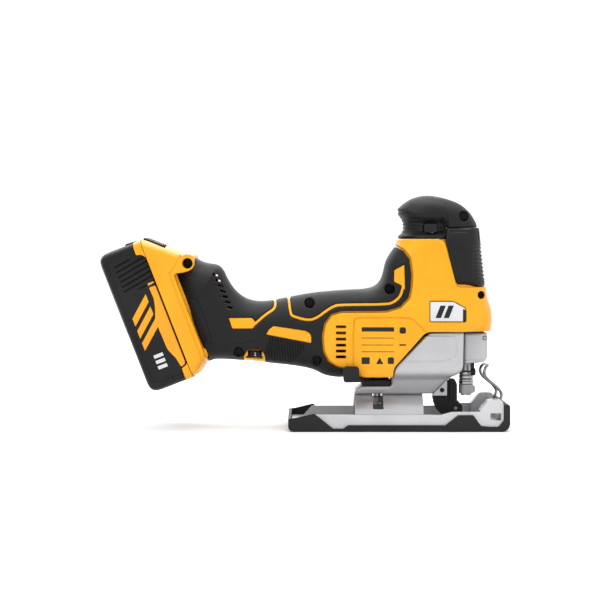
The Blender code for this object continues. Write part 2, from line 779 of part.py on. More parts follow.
def release_lever():
    """The silver nose cover that is pulled forward to open the blade clamp."""
    x, _, z = LEVER_AXIS
    side = prism([(51.5, 74.6, 2), (70.8, 74.6, 3), (70.8, 52, 4), (51.5, 50.2, 2)], XZ, -FAR, FAR)
    plan = prism([(40, -19.5), (40, 19.5), (70.8, 19.5, 6), (70.8, -19.5, 6)], XY, 0, FAR)
    lever = cut(
        common(side, plan),
        box((0, -16.3, 0), (67.3, 16.3, 66)),
        box((0, -16.3, 60), (64.2, 16.3, FAR)),
        box((0, -6.4, 65.5), (FAR, 6.4, FAR)),
        cylinder(1.8, (x, -30, z), "y", 60, segments=12),
    )
    finish(lever, "blade_release_lever", SILVER_PAINT, LEVER)


# ---------------------------------------------------------------- drive train


def gear_outline(teeth, first):
    """Straight-flanked teeth with the first one at this angle in degrees."""
    pitch_radius = MODULE * teeth / 2
    tip = pitch_radius + 0.65 * MODULE
    root = pitch_radius - 1.2 * MODULE
    pitch = 2 * math.pi / teeth
    points = []
    for tooth in range(teeth):
        middle = math.radians(first) + tooth * pitch
        for share, radius in ((-0.26, root), (-0.11, tip), (0.11, tip), (0.26, root)):
            angle = middle + share * pitch
            points.append((radius * math.cos(angle), radius * math.sin(angle)))
    return points


def gear_wheel(teeth, first, z, low, high):
    outline = [(y, z + height) for y, height in gear_outline(teeth, first)]
    return prism(outline, YZ, low, high)


def motor():
    """Stator, rotor with its shaft, cooling fan and the two bearings."""
    ring = [(22, -14), (22, -56), (13.5, -56), (13.5, -14)]
    stator = turned(ring, (0, 0, MOTOR_Z), "x", steps=32, ring=True)
    for turn in range(6):
        angle = math.radians(60 * turn + 30)
        y, z = math.cos(angle) * 22.5, MOTOR_Z + math.sin(angle) * 22.5
        stator = cut(stator, cylinder(1.6, (-60, y, z), "x", 50, segments=8))
    finish(stator, "motor_stator", COPPER, BODY)
    profile = [(0, 42), (2.5, 42), (2.5, -18), (12.8, -18), (12.8, -52), (2.5, -52), (2.5, -66), (0, -66)]
    finish(turned(profile, (0, 0, MOTOR_Z), "x"), "rotor", STEEL, ROTOR)
    hub = [(8, -3), (8, -4.5), (20.5, -6), (20.5, -8), (8, -10), (2.8, -10), (2.8, -3)]
    fan = turned(hub, (0, 0, MOTOR_Z), "x", ring=True)
    for blade in range(9):
        angle = math.radians(40 * blade)
        notch = box((-12, 13, -1.6), (0, 24, 1.6))
        notch.data.transform(Matrix.Translation((0, 0, MOTOR_Z * MM)) @ Matrix.Rotation(angle, 4, "X"))
        fan = cut(fan, notch)
    finish(fan, "cooling_fan", BLACK_PLASTIC, ROTOR)
    for name, low, high in (("motor_bearing_rear", -65.6, -60.6), ("motor_bearing_front", 0, 5)):
        bearing = [(8, high), (8, low), (2.8, low), (2.8, high)]
        finish(turned(bearing, (0, 0, MOTOR_Z), "x", ring=True), name, STEEL, BODY)


def gear_train():
    bore = cylinder(2.8, (20, 0, MOTOR_Z), "x", 30, segments=16)
    pinion = cut(gear_wheel(PINION_TEETH, 90, MOTOR_Z, 29, 39), bore)
    finish(pinion, "pinion", STEEL, ROTOR)
    wheel = gear_wheel(GEAR_TEETH, -85, GEAR_Z, 30, 38)
    y, z = CRANK_PIN
    wheel = cut(
        wheel,
        cylinder(3.8, (20, 0, GEAR_Z), "x", 30, segments=16),
        cylinder(2.9, (33, y, z), "x", 10, segments=12),
    )
    finish(wheel, "drive_gear", STEEL, GEAR)
    finish(cylinder(2.6, (33.3, y, z), "x", 10.7, segments=16), "crank_pin", STEEL, GEAR)
    finish(cylinder(3.5, (14, 0, GEAR_Z), "x", 22, segments=16), "gear_axle", STEEL, BODY)


def plunger():
    """The reciprocating rod with its yoke, and the blade clamp on its lower end."""
    rod = cylinder(PLUNGER_RADIUS, (PLUNGER_X, 0, PLUNGER_LOW), "z", PLUNGER_HIGH - PLUNGER_LOW)
    yoke = prism([(-19, 86, 3), (19, 86, 3), (19, 100, 3), (-19, 100, 3)], YZ, 44.5, 49.5)
    yoke = cut(yoke, prism([(-14, 89, 3.9), (14, 89, 3.9), (14, 97, 3.9), (-14, 97, 3.9)], YZ, 40, 60))
    bridge = prism([(-6, 86.5), (6, 86.5), (6, 89), (-6, 89)], YZ, 49, 53)
    upper = prism([(-6, 97), (6, 97), (6, 99.5), (-6, 99.5)], YZ, 49, 53)
    finish(join(rod, yoke, bridge, upper), "plunger", STEEL, PLUNGER)
    clamp = cylinder(4.2, (PLUNGER_X, 0, 24.5), "z", 11.2)
    clamp = join(clamp, cylinder(5.8, (PLUNGER_X, 0, 33.6), "z", 2.1))
    clamp = cut(clamp, box((PLUNGER_X - 3, -0.8, 20), (PLUNGER_X + 3, 0.8, 32)))
    finish(clamp, "clamp_body", SILVER_PAINT, PLUNGER)
    sleeve = [(4.9, 44), (5.8, 43), (5.8, 41.2), (5, 40.6), (5.8, 40), (5.8, 38.2)]
    sleeve += [(5, 37.6), (5.8, 37), (5.8, 36), (4.3, 36), (4.3, 44)]
    finish(turned(sleeve, (PLUNGER_X, 0, 0), "z", steps=16, ring=True), "clamp_spring", STEEL, PLUNGER)
    collar = turned([(5.8, 33.2), (5.8, 26), (4.5, 26), (4.5, 33.2)], (PLUNGER_X, 0, 0), "z", ring=True)
    ear = prism([(59.9, -2.2), (62, -1.6), (62, 1.6), (59.9, 2.2)], XY, 27, 32)
    finish(join(collar, ear), "clamp_collar", BLACK_PLASTIC, COLLAR)


def electronics():
    finish(box((-117, -13, 64), (-85, 13, 88)), "control_module", BLACK_PLASTIC, BODY)
    finish(box((16, -12, 131), (34, 12, 142)), "switch_module", BLACK_PLASTIC, BODY)
    block = prism([(20, 5), (20, 14.7), (42, 14.7), (42, 5)], PACK, -12, 12)
    finish(block, "terminal_block", BLACK_PLASTIC, BODY)


def controls():
    """The slide-through switch, the speed dial and the orbit lever."""
    x, _, z = SWITCH_CENTRE
    face = [(x - 5, z - 3.2, 1), (x + 5, z - 3.2, 1), (x + 5, z + 3.2, 1), (x - 5, z + 3.2, 1)]
    button = prism(face, XZ, -24.5, 19.5)
    finish(button, "switch_button", BLACK_PLASTIC, SWITCH)
    x, y, z = DIAL_AXIS
    wheel = gear_like_rim(x, y, 7.6, 7.0, 18)
    finish(prism(wheel, XY, z - 2.5, z + 2.5), "speed_dial", BLACK_PLASTIC, DIAL)
    x, y, z = ORBIT_AXIS
    knob_disc = cylinder(7, (x, y, z), "y", 3)
    tip = z - 12
    face = [(x - 2.4, z), (x + 2.4, z), (x + 1.9, tip, 1.5), (x - 1.9, tip, 1.5)]
    tab = prism(face, XZ, y, y + 4.5)
    stub = cylinder(2.1, (x, y - 4.5, z), "y", 5, segments=12)
    finish(join(knob_disc, tab, stub), "orbit_lever", BLACK_PLASTIC, ORBIT)


def gear_like_rim(x, y, outer, inner, ribs):
    """A knurled circle."""
    points = []
    for step in range(2 * ribs):
        angle = math.pi * step / ribs
        radius = inner if step % 2 else outer
        points.append((x + radius * math.cos(angle), y + radius * math.sin(angle)))
    return points


# ---------------------------------------------------------------- bevel clamp and shoe


def bevel_lever():
    """The lever under the housing that clamps the shoe's angle, and its bolt."""
    x, _, _ = BOLT_AXIS
    low, high = 37.6, 40.3
    plan = [(x - 8, -4), (x - 2, -8), (-29, -36, 2), (-40, -39, 2), (-42.5, -34, 2), (-34, -31, 3)]
    arm = prism(plan, XY, low, high)
    hub = cylinder(9, (x, 0, low), "z", high - low)
    tab = prism([(-42.5, 37.8, 2), (-30.5, 37.8, 2), (-30.5, 49.8, 2.5), (-42.5, 49.8, 2.5)], XZ, -39, -34)
    lever = cut(join(arm, hub, tab), cylinder(3.3, (x, 0, 30), "z", 20, segments=16))
    finish(lever, "bevel_lever", BLACK_PLASTIC, BEVEL_LEVER)
    bolt = cylinder(3, (x, 0, 20), "z", 20.2, segments=16)
    collar = cylinder(6, (x, 0, 33.4), "z", 3.9, segments=16)
    nut = cylinder(6, (x, 0, 19.5), "z", 4.2, segments=6)
    finish(join(bolt, collar, nut), "bevel_clamp_bolt", STEEL, BEVEL_LEVER)


def bevel_bracket():
    """The half-round arch on the shoe that turns under the gear case."""
    z = BEVEL_AXIS[2]
    low, high = -33, 20
    arch = cylinder(ARCH_RADIUS, (low, 0, z), "x", high - low, segments=36)
    feet = box((low, -31, 5.6), (high, 31, 8.2))
    arch = cut(
        join(arch, feet),
        cylinder(ARCH_RADIUS - 2.8, (low - 5, 0, z), "x", high - low + 10, segments=36),
        box((-FAR, -FAR, -FAR), (FAR, FAR, 5.6)),
        box((BOLT_AXIS[0] - 4, -22, 15), (BOLT_AXIS[0] + 4, 22, 40)),
    )
    for sx, sy in BRACKET_SCREWS:
        arch = cut(arch, cylinder(1.7, (sx, sy, 0), "z", 20, segments=10))
    finish(arch, "bevel_bracket", SILVER_PAINT, SHOE)


def bracket_screws():
    for index, (x, y) in enumerate(BRACKET_SCREWS):
        screw = join(
            cylinder(2.6, (x, y, 8.5), "z", 1.8, segments=12),
            cylinder(1.4, (x, y, 3), "z", 6, segments=10),
        )
        finish(screw, f"bracket_screw_{index + 1}", STEEL, SHOE)


def shoe():
    """The aluminium shoe: plate, side rims and the two front blocks with the fence slots."""
    plate = box((-82, -SHOE_HALF_WIDTH, 2.3), (80, SHOE_HALF_WIDTH, 5.3))
    rim = [(-74, 4), (-66, 12.7, 2), (32, 12.7, 2), (40, 14.9, 2), (64, 14.9), (64, 4)]
    parts = []
    for side in (-1, 1):
        inner, outer = side * 34.5, side * SHOE_HALF_WIDTH
        parts.append(prism(rim, XZ, min(inner, outer), max(inner, outer)))
        inner = side * 26
        outline = [(62, 4), (62, 16, 2), (68.5, 24, 2), (79, 24, 2), (80, 20), (80, 4)]
        parts.append(prism(outline, XZ, min(inner, outer), max(inner, outer)))
    parts.append(box((75.5, -27, 4), (80, 27, 20)))
    base = join(plate, *parts)
    base = cut(
        base,
        prism([(28, -14, 3), (71, -14, 3), (71, 14, 3), (28, 14, 3)], XY, -10, 40),
        box((70, -FAR, 8.5), (78.2, -25, 14)),
        box((70, 25, 8.5), (78.2, FAR, 14)),
        cylinder(2.6, (74, -31.5, 10), "z", 30, segments=12),
        cylinder(2.6, (74, 31.5, 10), "z", 30, segments=12),
        box((65, -26.5, 6.5), (75, 26.5, 40)),
    )
    for x, y in BRACKET_SCREWS:
        base = cut(base, cylinder(1.7, (x, y, -5), "z", 20, segments=10))
    finish(base, "shoe", SILVER_PAINT, SHOE)


def sole_cover():
    """The black snap-on sole: a floor, side walls with a hump at the nose, and raised ends."""
    outline = [
        (SOLE_REAR, 0, 4),
        (SOLE_REAR, 10, 1),
        (-80, 10.4, 1),
        (-72.3, 12.2, 1),
        (-65, 14, 1),
        (-50.1, 2.2, 1),
        (-42.8, 2.2, 1),
        (-38.7, 4.9),
        (35.5, 4.9),
        (45.2, 12.6, 1),
        (56.7, 12.6, 1),
        (62.7, 4.3),
        (69.2, 3.7),
        (76, 3.7, 2),
        (80.3, 9, 2),
        (80.3, 20.9, 1),
        (SOLE_FRONT, 20.9, 2),
        (SOLE_FRONT, 0, 6),
    ]
    whole = prism(outline, XZ, -SOLE_HALF_WIDTH, SOLE_HALF_WIDTH)
    whole = join(whole, box((-80, -SOLE_HALF_WIDTH + 6, 0), (80, SOLE_HALF_WIDTH - 6, 2)))
    inside = SHOE_HALF_WIDTH + GAP
    cover = cut(
        whole,
        box((-82.3, -inside, 2), (80.3, inside, 40)),
        prism([(28, -10, 2), (76.5, -10, 2), (76.5, 10, 2), (28, 10, 2)], XY, -10, 40),
    )
    finish(cover, "sole_cover", BLACK_PLASTIC, SHOE)
    insert = prism([(52, -9.6, 1), (76.1, -9.6, 2), (76.1, 9.6, 2), (52, 9.6, 1)], XY, 0.4, 2)
    insert = cut(insert, box((45, -1.3, -5), (66, 1.3, 10)))
    finish(insert, "splinter_insert", BLACK_PLASTIC, SHOE)


def finger_guard():
    """The bent wire in front of the blade."""
    half = 17.0
    leg = [(78, 20.3), (78.2, 25), (77.2, 28.5), (74.5, 32.5), (72.8, 37), (72.4, 42)]
    route = [(x, -half, z) for x, z in leg]
    for step in range(4):
        angle = math.radians(90 * step / 3)
        route.append((72.4, -half + 4 - 4 * math.cos(angle), 42.5 + 4 * math.sin(angle)))
    route += [(x, -y, z) for x, y, z in reversed(route)]
    curve = bpy.data.curves.new("guard", "CURVE")
    curve.dimensions = "3D"
    curve.bevel_depth = 1.2 * MM
    curve.bevel_resolution = 2
    curve.use_fill_caps = True
    spline = curve.splines.new("POLY")
    spline.points.add(len(route) - 1)
    for target, point in zip(spline.points, route):
        target.co = (point[0] * MM, point[1] * MM, point[2] * MM, 1)
    holder = bpy.data.objects.new("guard", curve)
    CUTTERS.objects.link(holder)
    graph = bpy.context.evaluated_depsgraph_get()
    mesh = bpy.data.meshes.new_from_object(holder.evaluated_get(graph))
    bpy.data.objects.remove(holder, do_unlink=True)
    wire = bpy.data.objects.new("shape", mesh)
    CUTTERS.objects.link(wire)
    finish(wire, "finger_guard", CHROME, SHOE)


# ---------------------------------------------------------------- battery


def battery():
    """The slide-on pack: a lower case, a railed upper case, the cells and the release latch."""
    half, depth = PACK_HALF, PACK_DEPTH
    outline = [(-half, 0, 2), (half, 0, 2), (half, -depth, 8), (-half, -depth, 8)]
    lower = prism(outline, PACK, -PACK_HALF_WIDTH, PACK_HALF_WIDTH)
    lower = cut(
        lower,
        prism([(-47, -2), (54.5, -2), (54.5, 3 - depth, 6), (-47, 3 - depth, 6)], PACK, -35, 35),
        prism([(-46, -4), (40, -4), (40, 5), (-46, 5)], PACK, -20, 20),
        prism([(-70, -15), (-50, -15), (-50, -1.5), (-70, -1.5)], PACK, -15, 15),
    )
    finish(lower, "battery_case_lower", BLACK_PLASTIC, BATTERY)
    side = [(-52, 0.3), (-52, 4.5), (-43, 13.5, 2), (42, 13.5, 2), (42, 0.3)]
    upper = prism(side, PACK, -RAIL_HALF_WIDTH, RAIL_HALF_WIDTH)
    upper = cut(
        upper,
        prism([(18, 4), (60, 4), (60, 30), (18, 30)], PACK, -13, 13),
        prism([(-42, -3), (15, -3), (15, 10.5), (-42, 10.5)], PACK, -19, 19),
    )
    groove = [(-60, 4), (60, 4), (60, 8), (-60, 8)]
    upper = cut(upper, prism(groove, PACK, -30, -20), prism(groove, PACK, 20, 30))
    finish(upper, "battery_case_upper", BLACK_PLASTIC, BATTERY)
    cells = None
    for column_index in range(5):
        for row in range(2):
            a = -34 + column_index * 18.0
            b = -10.6 - row * 14.8
            centre = pack_point(a, b, -32.5)
            cell = cylinder(7.5, centre, "y", 65, segments=12)
            cells = join(cells, cell) if cells else cell
    strip = prism([(-36, -12), (40, -12), (40, -24), (-36, -24)], PACK, -31, 31)
    finish(join(cells, strip), "cell_block", SILVER_PAINT, BATTERY)
    latch = prism([(-58.3, -13.8, 1.5), (-54.2, -13.8), (-54.2, -2.6), (-57.4, -2.6, 1.5)], PACK, -14, 14)
    finish(latch, "battery_latch", BLACK_PLASTIC, LATCH)


def main():
    housing()
    grip_overmold()
    front_grip()
    knob()
    housing_screws()
    gear_case()
    plunger_guide()
    bushings()
    worklight()
    roller_arm_bracket()
    roller_arm()
    release_lever()
    motor()
    gear_train()
    plunger()
    electronics()
    controls()
    bevel_lever()
    bevel_bracket()
    bracket_screws()
    shoe()
    sole_cover()
    finger_guard()
    battery()


main()
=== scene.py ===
"""Looks for the cordless jigsaw: detailed pieces built round the CAD frame, their materials,
the lights and the camera.

The moulded shells are distance fields: a side outline is inflated to a rounded body, cut up by
side-view regions and meshed. The machined and pressed pieces are the CAD's own shapes with
broken edges. Lengths are in millimetres until they become a mesh.
"""

import json
import math
from functools import reduce

import bmesh
import bpy
import numpy as np
import openvdb
from mathutils import Matrix, Vector

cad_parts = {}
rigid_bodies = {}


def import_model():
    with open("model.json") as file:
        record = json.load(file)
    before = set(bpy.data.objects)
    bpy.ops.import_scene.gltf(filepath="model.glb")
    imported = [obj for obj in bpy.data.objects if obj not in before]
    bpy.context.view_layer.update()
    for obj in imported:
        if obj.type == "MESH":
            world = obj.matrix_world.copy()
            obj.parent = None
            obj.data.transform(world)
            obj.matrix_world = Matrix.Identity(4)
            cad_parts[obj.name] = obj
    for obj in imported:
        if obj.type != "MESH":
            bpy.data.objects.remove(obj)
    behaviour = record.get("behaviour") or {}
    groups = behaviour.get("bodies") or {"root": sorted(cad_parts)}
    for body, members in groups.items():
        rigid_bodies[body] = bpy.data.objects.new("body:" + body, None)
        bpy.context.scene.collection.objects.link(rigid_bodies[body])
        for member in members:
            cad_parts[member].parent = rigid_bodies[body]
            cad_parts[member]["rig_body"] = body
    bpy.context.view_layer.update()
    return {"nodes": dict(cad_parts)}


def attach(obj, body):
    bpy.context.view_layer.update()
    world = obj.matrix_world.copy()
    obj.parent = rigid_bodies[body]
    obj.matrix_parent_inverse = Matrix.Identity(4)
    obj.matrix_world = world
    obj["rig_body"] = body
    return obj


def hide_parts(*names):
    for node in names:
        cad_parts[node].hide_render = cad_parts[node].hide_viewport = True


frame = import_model()

MM = 0.001
STEP = 0.5  # voxel of the housing
MIDDLE = 0.45  # voxel of the grip, the knob and the gear case
FINE = 0.35  # voxel of the small pieces
SEAM = 0.15  # half the gap between two halves
GAP = 0.25  # between the overmold and the yellow beside it
WALL = 3.0
PROUD = 1.0  # the yellow beside the overmold stands this far above it
RUBBER = 2.0  # thickness of the overmold
LINING = 0.9  # thickness of the overmold sleeve down a screw recess, black rubber as painted shade in the hole
PRINTED = 0.02  # mesh adaptivity of the printed marks
NODES = frame["nodes"]

# Axes and heights of the CAD's pieces
BOLT_X = -15  # bevel bolt, upright at y = 0
PLUNGER_X = 55  # plunger, upright at y = 0
LEVER_PIN = (67.5, 70.5)  # pin of the blade release lever, along y
SWITCH_AT = (25.0, 155.6)  # cross-bolt switch, along y
HOUSING_TOP = 147.1

# Pack frame: a runs down the joint between pack and foot, b points from the pack into the tool
TILT = math.radians(21.2)
PACK_AT = (-177.8, 93.5)
PACK_HALF_WIDTH = 37.5

# Side outlines: x, z in the row frame
ENVELOPE = [
    (-176, 126), (-167, 136.5), (-160.6, 134.5), (-151.9, 129.3), (-146.3, 128), (-140, 127.2),
    (-135.7, 123.6), (-132.6, 116.3), (-127.3, 107.9), (-120, 101.6), (-111.6, 98.6),
    (-102.1, 98.4), (-95.8, 99.5), (-83.2, 102), (-67.4, 105), (-51.7, 106.6), (-36, 107.6),
    (-24, 108.0), (-16.5, 110.4), (-12.2, 115), (-10.2, 121.5), (-8.6, 129.7), (-4.6, 136.5),
    (-1, 141.5), (0.9, 144), (1.5, 149), (1.6, 175), (58, 175), (61.8, 149), (66.6, 130),
    (68.4, 112), (68.6, 107.5), (69.4, 100.5), (72.1, 94), (73.1, 85.3), (72.8, 79), (71.8, 74),
    (58, 72), (50.2, 60), (50, 44), (40, 30), (0, 28), (-34, 30), (-40.5, 39.6), (-46, 38.8),
    (-56.9, 40.6), (-64.3, 44.8), (-72.7, 46.9), (-83.2, 48.5), (-104.2, 50.6), (-120, 52.2),
    (-141, 53.5), (-146.3, 51.6), (-156, 48), (-170, 80),
]
BAY = [
    (-57.6, 72), (-56.6, 61), (-52.9, 53.5), (-47, 49.5), (-40, 48), (-32, 47), (-30, 41, 2),
    (-25, 40.7), (-4.3, 40.7), (-4.3, 20), (100, 20), (100, 110.2), (44.9, 110.2, 3), (37, 140.8),
    (35.2, 145.6, 3), (30.5, 147.1), (-10, 147.1), (-10, 142.6), (-0.4, 142.2), (4.8, 139),
    (9.5, 132.5), (11.2, 119.2), (10.3, 108), (8.6, 101.2), (1.7, 94), (-9, 90.8), (-44, 90.4),
    (-51.1, 88.2), (-55.9, 81.5),
]
GEAR_CASE = [
    (50.2, 75.8, 2), (23.2, 75.3, 4), (-3.1, 47.8, 4), (-4.3, 40), (-4.5, 33, 2), (-28, 33, 1),
    (-32.4, 30, 1), (-32.4, 26, 1), (27.3, 26, 3), (38.5, 37.7, 6), (46, 42.3, 4), (49.8, 47.5, 4),
]
GEAR_CASE_END = [
    (-12, 18), (12, 18), (12, 26, 1), (17.2, 38.6, 1.5), (30.5, 42.5, 5), (31.6, 60), (31.6, 96),
    (-31.6, 96), (-31.6, 60), (-30.5, 42.5, 5), (-17.2, 38.6, 1.5), (-12, 26, 1),
]
FRONT_GRIP = [
    (44.9, 110.5, 3.5), (68.9, 110.5, 1), (68.7, 117), (67.2, 129.7), (65.5, 145.9),
    (64.2, 155.9, 0.8), (37.3, 155.9), (36.7, 148.6, 2), (35.6, 146.6, 2), (37.4, 140.8),
]
KNOB = [
    (1.3, 147.3, 0.8), (1.3, 149.8, 1), (4.2, 152, 1), (4.7, 155), (4.7, 159.5, 2), (3.2, 163.4, 1),
    (0.9, 166.6, 1), (1.5, 168.6, 0.5), (0.4, 170.6, 0.8), (4.2, 174.2, 6), (10.5, 178.6, 8),
    (20.2, 181.55, 12), (30, 180.9, 10), (39.8, 178.6, 10), (50, 174.6, 10), (57.7, 167.6, 10),
    (62, 160), (64.2, 156.2, 0.8), (37.2, 156.2), (36.9, 150), (34.6, 147.3, 1),
]

# Accents in the overmold
LINE_1 = [(-95.4, 99.9), (-94.4, 96), (-96, 92.5), (-101.6, 89.4), (-110.9, 81.2)]
LINE_2 = [
    (-84.8, 104), (-83, 89.6), (-81, 87.6), (-68.7, 84.4), (-61.9, 87), (-56, 91.6), (-50.5, 95),
    (-46, 96.7), (-9, 96.9), (-3.4, 98.8), (1.2, 103), (2.8, 107.6), (3.9, 113.5),
]
LINE_HALF = 1.05
CHIP_REAR = [
    (-130.4, 86.4), (-112.4, 86.4, 1), (-109.4, 82.6, 0.8), (-111.6, 78.3, 1), (-127.6, 78.3, 1),
]
CHIP_GRIP = [
    (-96, 80.3), (-70.5, 76.6, 2), (-66.9, 73.6, 3), (-66.9, 67.2, 0.6), (-101.6, 73.8, 0.6),
    (-99.5, 77.6, 1),
]
CHIP_HORN = [(4.6, 127.4, 0.5), (-3.1, 123.2, 0.8), (-3.4, 114.2, 0.8), (2, 111.6, 0.6), (5, 108, 0.6)]
DIAL_FRAME = [
    (-119.6, 50), (-119.2, 57, 2), (-116, 61.6, 2.5), (-105, 61.6, 2.5), (-102.6, 57, 2),
    (-102.2, 50),
]
DIAL_AT = (-110.3, -13.5, 58.0)
# Screw recesses: x, z, radius
HOLES = [
    (-161.9, 128.4, 4.0), (-122.9, 60.1, 4.0), (-68.2, 97.5, 4.0), (-62.5, 53.4, 4.0),
    (-6.6, 108.4, 4.0), (50.9, 164.6, 4.0), (63.8, 104.0, 3.1),
]
THROUGH_RUBBER = (1, 2, 3, 4)  # those in the overmold; 0 is the foot's, 5 the knob's, 6 the tower's
BAY_VENTS = [(-48, -40.4, z) for z in (79.8, 75.1, 70.4, 65.7, 61.2, 56.7)]
TOWER_PANEL = [(20.6, 143, 1), (35, 143, 1.5), (41.4, 109.5, 1.5), (20.6, 109.5, 1)]
BADGE = [(23.6, 99.6, 1.5), (42, 99.6, 2), (51.5, 94.2, 1.5), (51.5, 83.5, 1), (23.6, 83.5, 1.5)]
# The housing is open here, for the gear case, the neck and the bevel lever
BELOW = [
    (-41, 0), (-41, 40.7), (-4.6, 40.7), (-4.3, 42), (-3.5, 48.2, 3), (19.7, 74.5, 3),
    (23.2, 75.9, 2), (100, 75.9), (100, 0),
]
PLATE_LINE = [
    (-34.7, 30), (-34.7, 82.5), (-33.6, 85.6), (-31, 86.9), (7, 86.9), (11.6, 85), (20.6, 76.3),
]
CASE_LINE = [(21, 73.2), (42.6, 73.2), (44.4, 71.4), (44.4, 57.8), (38.6, 53.2), (7, 53.2)]


# ---------------------------------------------------------------- distance fields


class Grid:
    """A block of sample points, from low to high, in millimetres."""

    def __init__(self, low, high, step):
        self.low = np.array(low, float)
        self.step = step
        axes = [np.arange(a, b + step, step, dtype=np.float32) for a, b in zip(low, high)]
        self.x = axes[0][:, None, None]
        self.y = axes[1][None, :, None]
        self.z = axes[2][None, None, :]
        self.w = np.abs(self.y)
        dx, dz = self.x - PACK_AT[0], self.z - PACK_AT[1]
        self.a = dx * math.sin(TILT) - dz * math.cos(TILT)
        self.b = dx * math.cos(TILT) + dz * math.sin(TILT)

    def side(self, points, smooth=0):
        """Signed distance to a side outline (x, z), negative inside."""
        return polygon(self.x, self.z, outline(points, smooth))

    def pack(self, points):
        return polygon(self.a, self.b, outline(points))

    def end(self, points):
        """Signed distance to an outline seen from the end (y, z)."""
        return polygon(self.y, self.z, outline(points))

    def line(self, points, smooth=2):
        return distance(self.x, self.z, chaikin(points, smooth, False), False)


def chaikin(points, rounds, closed=True):
    pts = [np.array(p[:2], float) for p in points]
    for _ in range(rounds):
        made = [] if closed else [pts[0]]
        pairs = list(zip(pts, pts[1:] + pts[:1])) if closed else list(zip(pts, pts[1:]))
        for p, q in pairs:
            made += [p * 0.75 + q * 0.25, p * 0.25 + q * 0.75]
        pts = made if closed else made + [pts[-1]]
    return pts


def outline(points, smooth=0):
    """The outline with an arc at each corner that has a radius, or smoothed all over."""
    if smooth:
        return chaikin(points, smooth)
    made = []
    for i, point in enumerate(points):
        here = np.array(point[:2], float)
        radius = point[2] if len(point) > 2 else 0
        if not radius:
            made.append(here)
            continue
        last = np.array(points[i - 1][:2]) - here
        after = np.array(points[(i + 1) % len(points)][:2]) - here
        reach = min(radius, 0.48 * np.linalg.norm(last), 0.48 * np.linalg.norm(after))
        p = here + last / np.linalg.norm(last) * reach
        q = here + after / np.linalg.norm(after) * reach
        for t in (0, 0.2, 0.4, 0.6, 0.8, 1):
            made.append(p * (1 - t) ** 2 + 2 * here * t * (1 - t) + q * t * t)
    return made


def distance(u, v, points, closed):
    best = None
    count = len(points)
    for i in range(count if closed else count - 1):
        p, q = points[i], points[(i + 1) % count]
        e = q - p
        length = float(e @ e)
        if length < 1e-9:
            continue
        t = np.clip(((u - p[0]) * e[0] + (v - p[1]) * e[1]) / length, 0, 1)
        d = (u - p[0] - t * e[0]) ** 2 + (v - p[1] - t * e[1]) ** 2
        best = d if best is None else np.minimum(best, d)
    return np.sqrt(best).astype(np.float32)


def polygon(u, v, points):
    d = distance(u, v, points, True)
    inside = np.zeros(d.shape, bool)
    for i, p in enumerate(points):
        q = points[i - 1]
        if p[1] == q[1]:
            continue
        crosses = ((p[1] > v) != (q[1] > v)) & (u < (q[0] - p[0]) * (v - p[1]) / (q[1] - p[1]) + p[0])
        inside ^= crosses
    return np.where(inside, -d, d)


def smax(a, b, k):
    h = np.clip(0.5 + 0.5 * (a - b) / k, 0, 1)
    return b + (a - b) * h + k * h * (1 - h)


def smin(a, b, k):
    return -smax(-a, -b, k)


def union(parts):
    return reduce(np.minimum, parts)


def wave(along, pitch):
    return np.cos(along * 2 * math.pi / pitch)


def ramp(values, table):
    """Linear look-up in a table of (position, value)."""
    return np.interp(values, [p for p, _ in table], [q for _, q in table]).astype(np.float32)


def ease(values, low, high):
    t = np.clip((values - low) / (high - low), 0, 1)
    return t * t * (3 - 2 * t)


def inflate(s, w, reach, width, power):
    """A side outline s rounded into a body: the rounding starts this reach in from the outline."""
    u = np.clip((reach + s) / reach, 1e-3, None)
    v = np.clip(w / width, 1e-3, None)
    total = u**power + v**power
    f = total ** (1 / power)
    steep = np.sqrt((u ** (power - 1) / reach) ** 2 + (v ** (power - 1) / width) ** 2)
    slope = total ** (1 / power - 1) * steep
    return ((f - 1) / np.maximum(slope, 1e-4)).astype(np.float32)


def slot_field(grid, x0, x1, z, half, slant=0.0):
    """A horizontal slot right through along y."""
    mid, reach = (x0 + x1) / 2, (x1 - x0) / 2
    dz = np.abs(grid.z - z - slant * (grid.x - mid)) - half
    dx = np.abs(grid.x - mid) - reach
    return np.maximum(dx, dz) + 0 * grid.y


def tube(grid, x, z, radius):
    """A round hole right through along y."""
    return np.sqrt((grid.x - x) ** 2 + (grid.z - z) ** 2) - radius


def post(grid, x, radius):
    """An upright round bar at y = 0."""
    return np.sqrt((grid.x - x) ** 2 + grid.y**2) - radius


def block(grid, low, high):
    d = None
    for axis, a, b in zip((grid.x, grid.y, grid.z), low, high):
        part = np.abs(axis - (a + b) / 2) - (b - a) / 2
        d = part if d is None else np.maximum(d, part)
    return d


# ---------------------------------------------------------------- meshes


def sample(field, points):
    """Trilinear samples of a field at points in index coordinates."""
    top = np.array(field.shape) - 1.001
    p = np.clip(points, 0, top)
    i = p.astype(int)
    f = p - i
    value = 0
    for corner in range(8):
        o = np.array([corner & 1, corner >> 1 & 1, corner >> 2 & 1])
        weight = np.prod(np.where(o, f, 1 - f), axis=1)
        j = i + o
        value = value + weight * field[j[:, 0], j[:, 1], j[:, 2]]
    return value


def slopes(field, points, reach=0.6):
    made = np.zeros_like(points)
    for axis in range(3):
        o = np.zeros(3)
        o[axis] = reach
        made[:, axis] = (sample(field, points + o) - sample(field, points - o)) / (2 * reach)
    return made


